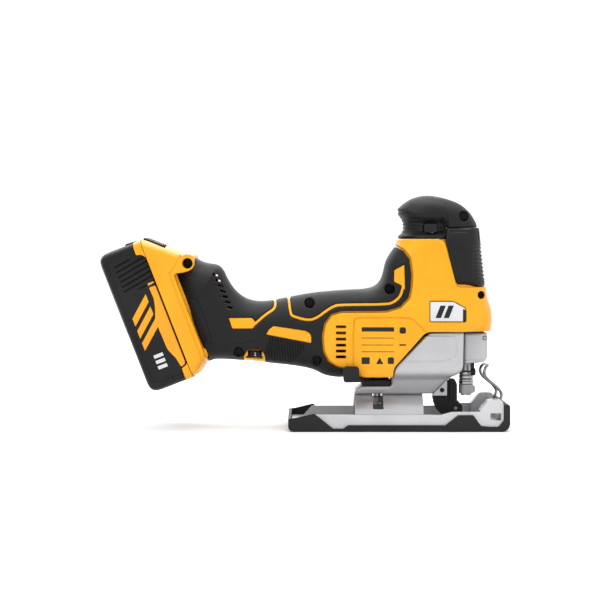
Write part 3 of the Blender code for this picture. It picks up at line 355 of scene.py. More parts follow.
def solid(name, grid, field, look, body, replaces=(), adaptivity=0.012, mirrored=False):
    """Meshes a field's inside as a piece that rides on a body; mirrored, for the other half."""
    shape = (grid.x.size, grid.y.size, grid.z.size)
    field = np.array(np.broadcast_to(np.clip(field / grid.step, -3, 3), shape), dtype=np.float32)
    for axis in range(3):  # the piece closes at the edge of its block
        for end in (0, -1):
            np.moveaxis(field, axis, 0)[end] = 3
    volume = openvdb.FloatGrid(3.0)
    volume.copyFromArray(field)
    points, tris, quads = volume.convertToPolygons(0.0, adaptivity)
    points = points.astype(float)
    for _ in range(2):
        g = slopes(field, points)
        size = np.maximum((g**2).sum(1), 0.05)
        move = g * (sample(field, points) / size)[:, None]
        points -= np.clip(move, -0.4, 0.4)
    normals = slopes(field, points)
    normals /= np.maximum(np.linalg.norm(normals, axis=1), 1e-6)[:, None]
    world = (points * grid.step + grid.low) * MM
    if mirrored:
        world[:, 1] *= -1
        normals[:, 1] *= -1
    faces = [tuple(map(int, f)) for f in tris] + [tuple(map(int, f)) for f in quads]
    mesh = bpy.data.meshes.new(name)
    mesh.from_pydata(world.tolist(), [], faces)
    mesh.update()
    outward = 0
    for f in list(mesh.polygons)[:: max(1, len(mesh.polygons) // 200)]:
        outward += 1 if f.normal.dot(Vector(normals[f.vertices[0]])) > 0 else -1
    if outward < 0:
        mesh.flip_normals()
    mesh.shade_smooth()
    mesh.normals_split_custom_set_from_vertices(normals.tolist())
    return place(bpy.data.objects.new(name, mesh), look, body, replaces)


def place(obj, look, body, replaces=()):
    if obj.name not in bpy.context.scene.collection.objects:
        bpy.context.scene.collection.objects.link(obj)
    obj.data.materials.clear()
    obj.data.materials.append(look)
    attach(obj, body)
    if replaces:
        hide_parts(*replaces)
    return obj


def refined(node, look, width, segments):
    """A copy of a CAD node with its edges broken."""
    source = NODES[node]
    mesh = source.data.copy()
    bm = bmesh.new()
    bm.from_mesh(mesh)
    bmesh.ops.remove_doubles(bm, verts=bm.verts, dist=2e-6)
    bmesh.ops.dissolve_limit(bm, angle_limit=math.radians(1), verts=bm.verts, edges=bm.edges)
    bm.to_mesh(mesh)
    bm.free()
    obj = bpy.data.objects.new(node + "_piece", mesh)
    bevel = obj.modifiers.new("edges", "BEVEL")
    bevel.width = width * MM
    bevel.segments = segments
    bevel.limit_method = "ANGLE"
    bevel.angle_limit = math.radians(28)
    bevel.use_clamp_overlap = True
    bevel.miter_outer = "MITER_ARC"
    mesh.shade_smooth()
    normal = obj.modifiers.new("normals", "WEIGHTED_NORMAL")
    normal.keep_sharp = False
    return place(obj, look, source["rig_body"], (node,))


# ---------------------------------------------------------------- materials


class Look:
    """A procedural material: a Principled shader with textured colour, roughness and bump."""

    def __init__(self, name, **sockets):
        self.material = bpy.data.materials.new(name)
        self.material.use_nodes = True
        self.tree = self.material.node_tree
        self.shader = self.tree.nodes["Principled BSDF"]
        for key, value in sockets.items():
            self.shader.inputs[key.replace("_", " ")].default_value = value
        self.where = self.tree.nodes.new("ShaderNodeTexCoord").outputs["Object"]

    def add(self, kind, **inputs):
        node = self.tree.nodes.new(kind)
        for key, value in inputs.items():
            socket = node.inputs[key.replace("_", " ")]
            if isinstance(value, bpy.types.NodeSocket):
                self.tree.links.new(value, socket)
            else:
                socket.default_value = value
        return node

    def noise(self, scale, detail=3.0, roughness=0.55, stretch=None):
        where = self.where
        if stretch:
            where = self.add("ShaderNodeMapping", Vector=where, Scale=stretch).outputs["Vector"]
        inputs = {"Vector": where, "Scale": scale, "Detail": detail, "Roughness": roughness}
        return self.add("ShaderNodeTexNoise", **inputs).outputs["Fac"]

    def colours(self, factor, low, high, start=0.35, end=0.65):
        node = self.add("ShaderNodeValToRGB", Fac=factor)
        node.color_ramp.elements[0].position = start
        node.color_ramp.elements[1].position = end
        node.color_ramp.elements[0].color = (*low, 1)
        node.color_ramp.elements[1].color = (*high, 1)
        return node.outputs["Color"]

    def span(self, factor, low, high, start=0.3, end=0.7):
        node = self.add("ShaderNodeMapRange", Value=factor)
        for key, value in (("From Min", start), ("From Max", end), ("To Min", low), ("To Max", high)):
            node.inputs[key].default_value = value
        return node.outputs["Result"]

    def mix(self, factor, a, b):
        node = self.tree.nodes.new("ShaderNodeMix")
        node.data_type = "RGBA"
        for index, value in ((0, factor), (6, a), (7, b)):
            if isinstance(value, bpy.types.NodeSocket):
                self.tree.links.new(value, node.inputs[index])
            else:
                node.inputs[index].default_value = value
        return node.outputs[2]

    def bump(self, height, strength, depth, after=None):
        node = self.add("ShaderNodeBump", Height=height, Strength=strength, Distance=depth)
        if after:
            self.tree.links.new(after, node.inputs["Normal"])
        return node.outputs["Normal"]

    def use(self, **sockets):
        for key, value in sockets.items():
            self.tree.links.new(value, self.shader.inputs[key.replace("_", " ")])
        return self.material


def moulded(name, low, high, rough, grain=2600.0, depth=0.00004, strength=0.35, **sockets):
    """Moulded plastic: a fine spark-eroded grain, slight cloudiness and a few scuffs."""
    look = Look(name, **sockets)
    cloud = look.noise(34.0, 4.0)
    fine = look.noise(grain, 2.0, 0.5)
    scuff = look.noise(210.0, 6.0, 0.7, stretch=(1.0, 1.0, 2.6))
    base = look.colours(cloud, low, high, 0.3, 0.7)
    worn = look.colours(scuff, (0.0, 0.0, 0.0), (1.0, 1.0, 1.0), 0.66, 0.8)
    lighter = tuple(min(1.0, c * 1.16 + 0.004) for c in high)
    colour = look.mix(worn, base, (*lighter, 1))
    roughness = look.span(fine, rough - 0.05, rough + 0.06)
    return look.use(Base_Color=colour, Roughness=roughness, Normal=look.bump(fine, strength, depth))


def rubber(name, low, high, rough, depth=0.00006, strength=0.5, scale=1900.0):
    """Soft overmold: a pebbled surface, dust in its hollows and a grey sheen at grazing angles."""
    sheen = {"Sheen_Weight": 0.05, "Sheen_Roughness": 0.35, "Sheen_Tint": (0.75, 0.77, 0.8, 1)}
    look = Look(name, Specular_IOR_Level=0.2, **sheen)
    cells = look.add("ShaderNodeTexVoronoi", Vector=look.where, Scale=scale).outputs["Distance"]
    cloud = look.noise(26.0, 5.0)
    dust = look.noise(420.0, 5.0, 0.7)
    base = look.colours(cloud, low, high, 0.3, 0.72)
    dusty = look.colours(dust, (0, 0, 0), (0.5, 0.5, 0.5), 0.58, 0.86)
    colour = look.mix(dusty, base, (*(c * 1.7 + 0.004 for c in high), 1))
    normal = look.bump(cells, strength, depth)
    roughness = look.span(cloud, rough - 0.05, rough + 0.07)
    return look.use(Base_Color=colour, Roughness=roughness, Normal=normal)


def painted(name, low, high, rough, metallic=0.35):
    """Silver paint on a casting: fine flake and the casting's slight orange peel."""
    look = Look(name, Metallic=metallic, Coat_Weight=0.12, Coat_Roughness=0.25)
    flake = look.noise(5200.0, 1.0)
    peel = look.noise(330.0, 3.0)
    cloud = look.noise(22.0, 4.0)
    base = look.colours(cloud, low, high, 0.3, 0.7)
    sparkle = look.colours(flake, (0, 0, 0), (0.45, 0.45, 0.45), 0.5, 0.75)
    colour = look.mix(sparkle, base, (*(min(1, c * 1.25) for c in high), 1))
    normal = look.bump(peel, 0.16, 0.0001)
    normal = look.bump(flake, 0.14, 0.00003, normal)
    roughness = look.span(peel, rough - 0.05, rough + 0.07)
    return look.use(Base_Color=colour, Roughness=roughness, Normal=normal)


def brushed(name, low, high, rough, stretch=(1.0, 14.0, 14.0), scale=240.0, **sockets):
    """Machined metal with the lines its finishing left."""
    look = Look(name, Metallic=1.0, **sockets)
    lines = look.noise(scale, 5.0, 0.65, stretch=stretch)
    cloud = look.noise(45.0, 4.0)
    spots = look.noise(900.0, 4.0, 0.7)
    base = look.colours(lines, low, high, 0.3, 0.7)
    stained = look.colours(spots, (0, 0, 0), (0.5, 0.5, 0.5), 0.6, 0.85)
    colour = look.mix(stained, base, (*(c * 0.62 for c in low), 1))
    normal = look.bump(lines, 0.22, 0.00003)
    roughness = look.span(cloud, rough - 0.05, rough + 0.1)
    return look.use(Base_Color=colour, Roughness=roughness, Normal=normal)


def windings(name):
    """Enamelled copper wire, wound lengthways."""
    look = Look(name, Metallic=0.85, Coat_Weight=0.4, Coat_Roughness=0.15)
    turns = look.add("ShaderNodeTexWave", Vector=look.where, Scale=420.0, Distortion=1.5).outputs["Fac"]
    colour = look.colours(turns, (0.22, 0.07, 0.02), (0.62, 0.26, 0.1), 0.1, 0.9)
    normal = look.bump(turns, 0.5, 0.0002)
    return look.use(Base_Color=colour, Roughness=look.span(turns, 0.42, 0.26), Normal=normal)


def lamp(name):
    """The worklight's clear lens, prism-patterned inside."""
    look = Look(name, Transmission_Weight=0.55, IOR=1.49)
    cells = look.add("ShaderNodeTexVoronoi", Vector=look.where, Scale=1500.0).outputs["Distance"]
    colour = look.colours(cells, (0.75, 0.8, 0.88), (0.96, 0.97, 1.0), 0.0, 0.7)
    normal = look.bump(cells, 0.4, 0.0001)
    return look.use(Base_Color=colour, Roughness=look.span(cells, 0.06, 0.16), Normal=normal)


YELLOW = moulded(
    "housing_yellow", (0.665, 0.282, 0.002), (0.73, 0.325, 0.003), 0.38, Specular_IOR_Level=0.3
)
BLACK = rubber("overmold_black", (0.0035, 0.0036, 0.004), (0.0085, 0.0087, 0.0095), 0.58)
GRIP_BLACK = rubber(
    "grip_black", (0.0045, 0.0046, 0.0051), (0.0105, 0.0108, 0.0117), 0.52, strength=0.7, scale=1500.0
)
PLASTIC = moulded(
    "plastic_black", (0.0045, 0.0045, 0.005), (0.009, 0.009, 0.0097), 0.48, 2200.0,
    Specular_IOR_Level=0.22,
)
PACK_BLACK = moulded(
    "pack_black", (0.004, 0.004, 0.0043), (0.0085, 0.0085, 0.009), 0.56, 2400.0, Specular_IOR_Level=0.22
)
SOLE_BLACK = moulded(
    "sole_black", (0.007, 0.007, 0.0076), (0.013, 0.013, 0.014), 0.5, 1500.0, strength=0.45,
    Specular_IOR_Level=0.22,
)
PRINT = {"grain": 3200.0, "strength": 0.12}  # the surface of a printed label
LABEL = moulded(
    "label_black", (0.004, 0.004, 0.0044), (0.007, 0.007, 0.0075), 0.3, Specular_IOR_Level=0.3, **PRINT
)
LABEL_YELLOW = moulded(
    "label_yellow", (0.66, 0.265, 0.006), (0.71, 0.3, 0.008), 0.36, Specular_IOR_Level=0.3, **PRINT
)
LABEL_WHITE = moulded(
    "label_white", (0.5, 0.5, 0.53), (0.58, 0.58, 0.61), 0.34, Specular_IOR_Level=0.35, **PRINT
)
SILVER = painted("silver_paint", (0.36, 0.36, 0.375), (0.43, 0.43, 0.445), 0.36)
SILVER_DARK = painted("silver_paint_low", (0.28, 0.28, 0.295), (0.34, 0.34, 0.355), 0.4)
ALUMINIUM = painted("shoe_silver", (0.4, 0.4, 0.415), (0.49, 0.49, 0.505), 0.34, metallic=0.5)
STEEL = brushed("steel", (0.24, 0.24, 0.25), (0.4, 0.4, 0.41), 0.28)
DARK_STEEL = brushed("dark_steel", (0.008, 0.008, 0.009), (0.018, 0.018, 0.019), 0.42)
CHROME = brushed("chrome", (0.1, 0.1, 0.105), (0.3, 0.3, 0.31), 0.14, scale=120.0)
TURNED = brushed("turned_steel", (0.24, 0.24, 0.25), (0.42, 0.42, 0.43), 0.25, stretch=(14.0, 1.0, 1.0))
BRASS = brushed("bronze_bush", (0.42, 0.27, 0.1), (0.6, 0.42, 0.18), 0.34)
COPPER = windings("windings")
LENS = lamp("lens")
# The cells are near-black: painted shade, so the gaps into the pack read dark
CELLS = painted("cells_painted_shade", (0.012, 0.02, 0.03), (0.02, 0.032, 0.045), 0.4, metallic=0.0)


# ---------------------------------------------------------------- housing and overmold

HALF_WIDTH = [
    (-185, 31), (-165, 30.5), (-146, 30), (-125, 29), (-100, 29), (-84, 29.5), (-54, 30.5),
    (-30, 31.2), (5, 31),
]
TOWER_WIDTH = [
    (26, 28), (41, 29.5), (46, 31), (56, 32), (66, 32.5), (93, 32.2), (100, 31), (107, 30),
    (112, 29.3), (130, 28), (149, 26.6),
]
BARREL_REACH = [(-170, 30), (-150, 30), (-125, 25), (-100, 23), (-70, 26), (-52, 22), (-38, 17)]
TOWER_REACH = 21
FOOT = [
    (-57, -12), (-57, 2.6, 3), (-38, 23.8, 3), (-36, 25.4, 3), (-26, 29, 4), (10, 24, 2),
    (44, 19, 3), (49.5, 13.8, 3), (56.2, 4.9, 3), (57, -12),
]
FOOT_YELLOW = [
    (-70, -12), (-70, 60), (-33, 60), (-33, 34), (-21.3, 31, 4), (-20.9, 22.5, 4), (-23.6, 14.6, 4),
    (49, 14.6, 1), (49, 24), (70, 24), (70, -12),
]
FOOT_WIDTH = [
    (-12, 38), (5.4, 38), (7.0, 37.3), (11.2, 35.2), (12, 34.9), (16, 33.2), (24, 31), (40, 30),
]
FOOT_LINE = [(-33.8, 24), (-25.4, 14.6), (-24.8, 11.6), (48.5, 11.6)]
FOOT_POCKET = [(-50, -9), (-50, 3), (-40, 7.5), (44, 7.5), (50, 2), (50, -9)]
BARREL_RIBS = [(-103.5, 54), (-99.5, 72.5, 3), (-70, 66.2, 4), (-75, 58.5), (-82, 52)]
DIAL_LINE = [(-108, 68.3), (-118, 67.4), (-122, 66.2), (-128, 67.2)]
HUMP_LINE = [(-157.5, 100.2), (-153.9, 99.4), (-143.7, 69.7), (-144.9, 66.7), (-149.7, 66.1)]


def envelope(g, grow=0.0):
    """The whole body's skin, from the barrel to the tower."""
    share = ease(g.x, -30, 12)
    width = ramp(g.x, HALF_WIDTH) * (1 - share) + ramp(g.z, TOWER_WIDTH) * share
    upright = ease(g.z, 96, 112) * ease(g.x, -30, 5)
    reach = ramp(g.x, BARREL_REACH) * (1 - upright) + TOWER_REACH * upright
    power = 2.35 + 0.35 * ease(g.x, -60, -30)
    return inflate(g.side(ENVELOPE, 2) - grow, g.w, reach, width + grow, power)


def fields(g):
    """The fields that both halves share: skin, proud yellow skin, and the side-view regions."""
    skin = envelope(g)
    proud = envelope(g, PROUD)
    foot = inflate(g.pack(FOOT), g.w, 6.5, ramp(g.b, FOOT_WIDTH), 2.6)
    boss = np.maximum(tube(g, *HOLES[0][:2], 7.0), g.w - 30.5)
    foot = smin(foot, boss, 1.5)
    foot = np.maximum(foot, 0.4 - g.b)
    return skin, proud, foot, g.side(BAY), g.pack(FOOT_YELLOW)


def groove(field, along, half, depth):
    """Cuts a groove this deep into a skin along a side-view line."""
    return smax(field, -np.maximum(field - 5 * half, np.maximum(-(field + depth), along - half)), 0.35)


def vents(g, shift):
    """The slots by the motor, and the slanted row on the hump.

    The row's lower slots are staggered from side to side, so only the top two can be seen through.
    """
    slots = union(np.maximum(slot_field(g, x0, x1, z, 1.05), 20 - g.w) for x0, x1, z in BAY_VENTS)
    for i in range(7):
        t = (i + shift * (0.26 if i < 2 else 0.05 * i - 0.23)) / 6
        x, z = -141.2 + 11.6 * t, 119.2 - 25.0 * t
        slots = np.minimum(slots, slot_field(g, x - 2.1, x + 2.1, z, 0.85, -0.25))
    return slots


def recesses(g, field, only, wider=0.0):
    """Cuts some of the screw recesses, down to 11 mm from the seam."""
    for i in only:
        x, z, radius = HOLES[i]
        field = smax(field, -np.maximum(tube(g, x, z, radius + wider), 11 - g.w), 0.5)
    return field


def linings(g, field, skin, only):
    """Carries the overmold down the walls of the screw recesses: a black sleeve, painted shade that
    makes the holes read dark.
    """
    for i in only:
        x, z, radius = HOLES[i]
        sleeve = np.maximum(np.maximum(tube(g, x, z, radius + LINING), 12 - g.w), skin)
        field = np.minimum(field, sleeve)
    return field


def shells():
    """The yellow clamshell and the black overmold, a half at a time."""
    g = Grid((-206, -40, 36), (77, 1.8, 150), STEP)
    skin, proud, foot, bay, foot_region = fields(g)
    accents = np.minimum(g.line(LINE_1, 3), g.line(LINE_2, 3)) - LINE_HALF
    accents = union([accents] + [g.side(chip) for chip in (CHIP_REAR, CHIP_GRIP, CHIP_HORN)])
    yellow_top = smax(proud, bay, 1.6)
    core = skin + RUBBER + GAP
    foot_part = smax(foot, foot_region, 1.0)
    rail_roof = np.maximum(np.maximum(foot + 1, g.w - 24.8), np.abs(g.b - 15.2) - 1.1)
    foot_part = np.minimum(foot_part, rail_roof)
    x, y, z = DIAL_AT
    window = block(g, (x - 5.6, -34, z - 3.8), (x + 5.6, y - 1.5, z + 3.3))
    wheel = np.maximum(np.sqrt((g.x - x) ** 2 + (g.y - y) ** 2) - 8, np.abs(g.z - z) - 2.9)
    pocket = np.maximum(g.pack(FOOT_POCKET), np.abs(g.w - 30) - 3)
    openings = [
        g.side(BELOW),
        np.maximum(np.maximum(g.w - 23.5, g.b - 15), g.a - 43.5),  # rail channel
        pocket,
        np.maximum(post(g, PLUNGER_X, 6.5), 60 - g.z),
        block(g, (-2, -12, 68), (44, 12, 84)),  # motor shaft and pinion
        smax(g.side(FRONT_GRIP) - GAP, -(skin + 2.3), 0.3),
    ]
    ribs = np.maximum(g.side(BARREL_RIBS), -skin - 0.8)
    ribs = np.maximum(ribs, 0.1 - 0.55 * wave(g.x + 0.12 * g.z, 2.1))
    foot_line = distance(g.a, g.b, chaikin(FOOT_LINE, 1, False), False)
    for hand in ("right", "left"):
        right = hand == "right"
        marks = np.minimum(accents, g.side(DIAL_FRAME)) if right else accents
        raised = smax(skin + 0.35, marks, 0.6)
        outer = smin(smin(yellow_top, core, 0.3), smin(foot_part, raised, 0.2), 0.2)
        hollow = np.maximum(np.maximum(outer + WALL, 16 - g.b), 43.4 - g.z)
        if right:
            for hx, hz, radius in HOLES:
                hollow = np.maximum(hollow, -tube(g, hx, hz, radius + 2.6))
        yellow = groove(outer, g.line(PLATE_LINE, 1), 0.42, 0.8)
        yellow = groove(yellow, foot_line, 0.5, 0.7)
        for sunk, depth in ((TOWER_PANEL, 0.45), (BADGE, 0.8)):
            recess = np.maximum(np.maximum(g.side(sunk), -(proud + depth)), proud - 3)
            yellow = smax(yellow, -recess, 0.3)
        yellow = np.maximum(yellow, -hollow)
        for opening in openings:
            yellow = smax(yellow, -opening, 0.4)
        slots = vents(g, 0 if right else 1)
        yellow = smax(yellow, -slots, 0.3)
        black = np.maximum(skin, -(skin + RUBBER))
        black = smax(black, -(bay - 1.3), 0.9)
        black = smax(black, -(marks - 0.2), 1.0)
        black = smax(black, -(foot_part - GAP), 0.6)
        black = np.maximum(np.maximum(black, 9 - g.b), g.x - 12)
        black = np.maximum(black, -np.maximum(-41 - g.x, g.z - 60))
        black = smax(black, -slots, 0.5)
        black = groove(black, g.line(DIAL_LINE), 0.5, 0.5)
        black = groove(black, g.line(HUMP_LINE), 0.5, 0.45)
        black = smax(black, -ribs, 0.25)
        if right:
            yellow = recesses(g, yellow, THROUGH_RUBBER, LINING + 0.15)
            yellow = recesses(g, yellow, (0, 6))
            black = linings(g, black, skin, THROUGH_RUBBER)
            black = recesses(g, black, (0, *THROUGH_RUBBER))
            yellow = np.maximum(yellow, -np.minimum(window, wheel))
            black = np.maximum(black, -np.minimum(window, wheel))
        yellow = np.maximum(np.maximum(yellow, g.y + SEAM), g.z - HOUSING_TOP)
        black = np.maximum(black, g.y + SEAM)
        for name, field, look, slot in (
            ("housing", yellow, YELLOW, "yellow_plastic"),
            ("grip_overmold", black, BLACK, "rubber"),
        ):
            node = f"{name}_{hand}"
            solid(node + "_shell", g, field, look, "body", (node,), mirrored=not right)


shells()


# ---------------------------------------------------------------- front grip and knob

GRIP_WIDTH = [(108, 30.9), (130, 29.6), (146, 28.4), (157, 27.5)]
GRIP_SILHOUETTE = [
    (-20, 104), (69, 104), (68.9, 110), (68.7, 117), (67.2, 129.7), (65.5, 145.9), (64.0, 164),
    (-20, 164),
]
NECK_WIDTH = [
    (147, 25.8), (149.6, 25.4), (151.5, 22), (153.4, 19.8), (156, 19.2), (159.5, 19.4), (162, 21.6),
    (164.4, 23.8), (167, 24.6), (182, 24.8),
]


def front_grip():
    g = Grid((30, -34, 108), (72, 34, 158), MIDDLE)
    skin = inflate(g.side(GRIP_SILHOUETTE), g.w, TOWER_REACH, ramp(g.z, GRIP_WIDTH), 2.6)
    edge = g.side(FRONT_GRIP)
    pad = smax(skin, edge, 1.8)
    pad = np.maximum(pad, -(skin + 2.6))
    pad = groove(pad, np.abs(edge + 3.1) + 0.1 + 4 * (g.x > 62), 0.5, 0.45)
    pad = groove(pad, np.abs(g.z - 145.6) + 3 * (np.abs(g.x - 47) > 8), 0.4, 0.35)
    band = ease(g.x, 56.5, 58.5) * ease(g.z, 114, 115.5) * (1 - ease(g.z, 141, 142.4))
    pad = pad + 0.9 * band * (0.5 - 0.5 * wave(g.z, 3.05))
    solid("front_grip_pad", g, pad, GRIP_BLACK, "body", ("front_grip",))


KNOB_SILHOUETTE = [(1.3, 120), (1.3, 149.8, 1)] + KNOB[2:17] + [(67, 140), (70, 120)]


def knob():
    g = Grid((-2, -27, 145), (67, 1.2, 184), MIDDLE)
    forward = ease(g.x, 35, 40)
    width = ramp(g.z, NECK_WIDTH) * (1 - forward) + (24.6 + 0.3 * ease(160 - g.z, 0, 10)) * forward
    head = inflate(g.side(KNOB_SILHOUETTE), g.w, 20, width, 2.35)
    low_edge = smax(head, g.side(KNOB), 0.8)
    neck_band = ease(g.z, 152.6, 153.6) * (1 - ease(g.z, 162, 163.4)) * (1 - ease(g.x, 14, 18))
    outer = low_edge + 0.75 * neck_band * (0.5 - 0.5 * wave(g.z, 2.6))
    outer = groove(outer, g.line([(37.8, 165), (37.8, 156.3)], 0), 0.5, 0.6)
    outer = groove(outer, g.line([(34.3, 162.3), (34.3, 152.4)], 0), 0.95, 0.9)
    x, z, radius = HOLES[5]
    shell = np.maximum(outer, -np.maximum(low_edge + WALL, -tube(g, x, z, radius + 1.6)))
    x, z = SWITCH_AT
    shell = smax(shell, -block(g, (x - 5.3, -60, z - 3.5), (x + 5.3, 60, z + 3.5)), 0.5)
    shell = np.maximum(shell, -block(g, (8, -14, 140), (31, 14, 152)))
    for hand, right in (("right", True), ("left", False)):
        half = recesses(g, shell, (5,)) if right else shell
        half = np.maximum(half, g.y + SEAM)
        node = f"knob_{hand}"
        solid(node + "_shell", g, half, GRIP_BLACK, "body", (node,), mirrored=not right)


# ---------------------------------------------------------------- gear case and release lever


def gear_case():
    g = Grid((-35, -33, 24), (52, 33, 78), MIDDLE)
    skin = smax(g.side(GEAR_CASE), g.end(GEAR_CASE_END), 3.2)
    case = groove(skin, g.line(CASE_LINE, 1), 0.4, 0.45)
    case = np.maximum(case, -np.maximum(skin + WALL, 42.5 - g.z))
    arch = 26.6 - np.sqrt(g.y**2 + (g.z - 2) ** 2)
    case = smax(case, arch, 0.5)
    for cut_away in (
        post(g, BOLT_X, 3.4),
        post(g, PLUNGER_X, 6.6),
        block(g, (4, -4, 71), (28, 4, 80)),  # motor shaft
        np.maximum(tube(g, 18, 56, 2.4), 20 - g.y),  # orbit lever's shaft
    ):
        case = smax(case, -cut_away, 0.4)
    solid("gear_case_casting", g, case, SILVER, "body", ("gear_case",))


def clamp_seat():
    """The seat that the bevel lever turns on, on top of the gear case's flange."""
    g = Grid((-30, -16, 32), (-3, 16, 39), FINE)
    seat = smax(block(g, (-27.8, -14.2, 33.2), (-4.8, 14.2, 37.35)), -post(g, BOLT_X, 6.4), 0.4)
    corners = [(-27.8, -14.2, 3), (-4.8, -14.2, 2), (-4.8, 14.2, 2), (-27.8, 14.2, 3)]
    seat = smax(seat, polygon(g.x, g.y, outline(corners)), 0.5)
    solid("bevel_lever_seat", g, seat, PLASTIC, "body", ())


def clamp_washer():
    """The knurled washer under the bevel bolt's nut."""
    g = Grid((-23, -8, 16), (-7, 8, 21), FINE)
    turn = np.arctan2(g.y, g.x - BOLT_X)
    washer = smax(post(g, BOLT_X, 6.2) + 0.25 * np.cos(20 * turn), np.abs(g.z - 18.4) - 1.0, 0.5)
    washer = smax(washer, -np.maximum(post(g, BOLT_X, 3.2), g.z - 18.2), 0.3)
    solid("bevel_clamp_washer", g, washer, STEEL, "bevel_lever", ())


def roller_fork():
    """The two cheeks on the roller's arm that flank the blade."""
    g = Grid((40, -8, 17), (50, 8, 40), FINE)
    side = g.side([(41.6, 19.5), (47.6, 19.5), (47.6, 33.5, 1), (45.8, 37.4, 1), (41.6, 37.4, 0.6)])
    fork = smax(side, np.maximum(g.w - 5.3, 2.1 - g.w), 0.5)
    fork = groove(fork, np.abs(g.x - 44.6) + 3 * ease(g.z, 34, 35), 0.4, 0.4)
    solid("roller_arm_fork", g, fork, PLASTIC, "roller_arm", ())


def release_lever():
    """The silver cover on the tool's nose, hollow behind and open at its hinge."""
    g = Grid((49, -21, 48), (73, 21, 76), FINE)
    side = g.side([(51.5, 74.6, 2), (70.8, 74.6, 3), (70.8, 52, 5), (51.5, 50.2, 2.5)])
    plan = polygon(g.x, g.y, outline([(40, -19.5), (40, 19.5), (70.8, 19.5, 8), (70.8, -19.5, 8)]))
    lever = smax(side, plan, 2.2)
    for low, high in (
        ((40, -16.3, 40), (67.3, 16.3, 66)),
        ((40, -16.3, 60), (64.2, 16.3, 90)),
        ((40, -6.4, 65.5), (90, 6.4, 90)),
    ):
        lever = smax(lever, -block(g, low, high), 0.8)
    lever = np.maximum(lever, -tube(g, *LEVER_PIN, 1.8))
    lever = groove(lever, np.abs(g.z - 53.6), 0.4, 0.35)
    replaced = ("blade_release_lever",)
    solid("blade_release_cover", g, lever, SILVER, "release_lever", replaced)


# ---------------------------------------------------------------- battery

PACK_SIDE = [(-57, 14), (57, 14), (57, -36, 9), (-57, -36, 9)]
PACK_PANEL = [(-49.5, 4), (-49.5, -29.5, 7), (48.5, -29.5, 7), (48.5, 4)]
PACK_LABEL = [(-19.5, 4), (-19.5, -27.6, 1), (46, -27.6, 6), (46, 4)]
LATCH_HALF = 15  # half the width of the latch's opening
END_TRIM = [
    [(-62, 3), (-62, -5.6), (-46.4, -6.4, 1), (-45.4, -2, 2), (-41, 0.6), (-41, 3)],
    [(62, 3), (62, -5.8), (46.2, -5.2, 1), (45.4, -1.6, 1), (43.5, 0.6), (43.5, 3)],
]


def battery():
    """The pack's black case and the yellow trim on its two ends."""
    g = Grid((-234, -40, 26), (-152, 40, 150), 0.55)
    skin = inflate(g.pack(PACK_SIDE), g.w, 5.0, PACK_HALF_WIDTH, 2.8)
    panel = g.pack(PACK_PANEL)
    label = g.pack(PACK_LABEL)
    case = smax(skin, -np.maximum(panel, 36.7 - g.w), 0.8)  # the sides step in inside a rounded rim
    case = smax(case, -np.maximum(np.abs(panel - 2.0) - 0.5, 36.9 - g.w), 0.4)
    rib_zone = g.pack([(-45.5, 2), (-45.5, -25, 2), (-21.5, -25, 2), (-21.5, 2)])
    ribs = np.maximum(rib_zone, 0.75 - wave(g.a + 0.16 * g.b, 3.95))
    case = smax(case, -np.maximum(ribs, 35.5 - g.w), 0.5)
    case = smax(case, -np.maximum(label, 36.35 - g.w), 0.2)
    back = np.maximum(np.abs(g.a) - 44, np.abs(g.b + 36) - 0.7)  # a shallow field on the underside
    case = smax(case, -np.maximum(back, g.w - 27), 0.5)
    for points, half_width in (
        ([(-47, -2.5), (54.5, -2.5), (54.5, -33, 6), (-47, -33, 6)], 34),  # the cells
        ([(-46, -4), (40, -4), (40, 5), (-46, 5)], 20),  # open under the rails
        ([(-70, -15), (-50, -15), (-50, -1.5), (-70, -1.5)], LATCH_HALF),
    ):
        case = np.maximum(case, -np.maximum(g.pack(points), g.w - half_width))
    trim = union(g.pack(points) for points in END_TRIM)
    black = smax(case, -(trim - 0.2), 0.5)
    black = smax(black, g.b + 0.05, 0.4)
    replaced = ("battery_case_lower",)
    solid("battery_case_shell", g, black, PACK_BLACK, "battery", replaced)
    rim = smax(skin - 0.25, trim, 0.6)
    rim = np.maximum(rim, g.b - 0.15)
    rim = np.maximum(rim, -np.maximum(np.abs(g.a) - 54, g.w - 34.5))
    latch = g.pack([(-70, -15), (-50, -15), (-50, 5), (-70, 5)])
    rim = np.maximum(rim, -np.maximum(latch, g.w - LATCH_HALF))
    solid("battery_end_trim", g, rim, YELLOW, "battery", ())


def release_flap():
    """The ridged black flap at the top of the pack's rails, which fills the foot's slot."""
    g = Grid((-215, -23, 128), (-180, 23, 158), FINE)
    flap = smax(g.pack([(-57.4, 2.9), (-47.1, 14.2), (-44.6, 12.0), (-54.9, 0.8)]), g.w - 21.2, 0.8)
    along = 0.667 * g.a + 0.744 * g.b
    ridges = 0.35 * ease(15 - g.w, 0, 2) * ease(2.2 - np.abs(along + 30.4), 0, 0.8)
    flap = flap + ridges * (0.5 - 0.5 * wave(g.y, 2.4))
    solid("battery_release_flap", g, flap, PACK_BLACK, "battery", ())


LABEL_BAND = [
    (-23.5, -0.9), (44, -0.9, 2), (45.3, -5.2, 1), (37.5, -6.6, 1.5), (29, -10.2, 2),
    (13, -10.6, 1), (4.5, -10.6, 1), (-3.5, -7.6, 2), (-10.5, -5.8, 2), (-23.5, -6.2, 1),
]
LABEL_STRIPES = [
    [(a, -10.2), (a + 6.5, -10.2), (a + 20.5, -26.6), (a + 14, -26.6)] for a in (-16.5, -6.5, 3.5)
]
LABEL_DOTS = [
    [(a, -14.4), (a + 2.8, -14.4), (a + 2.8, -22), (a, -22)] for a in (29.5, 33.9, 38.3)
]


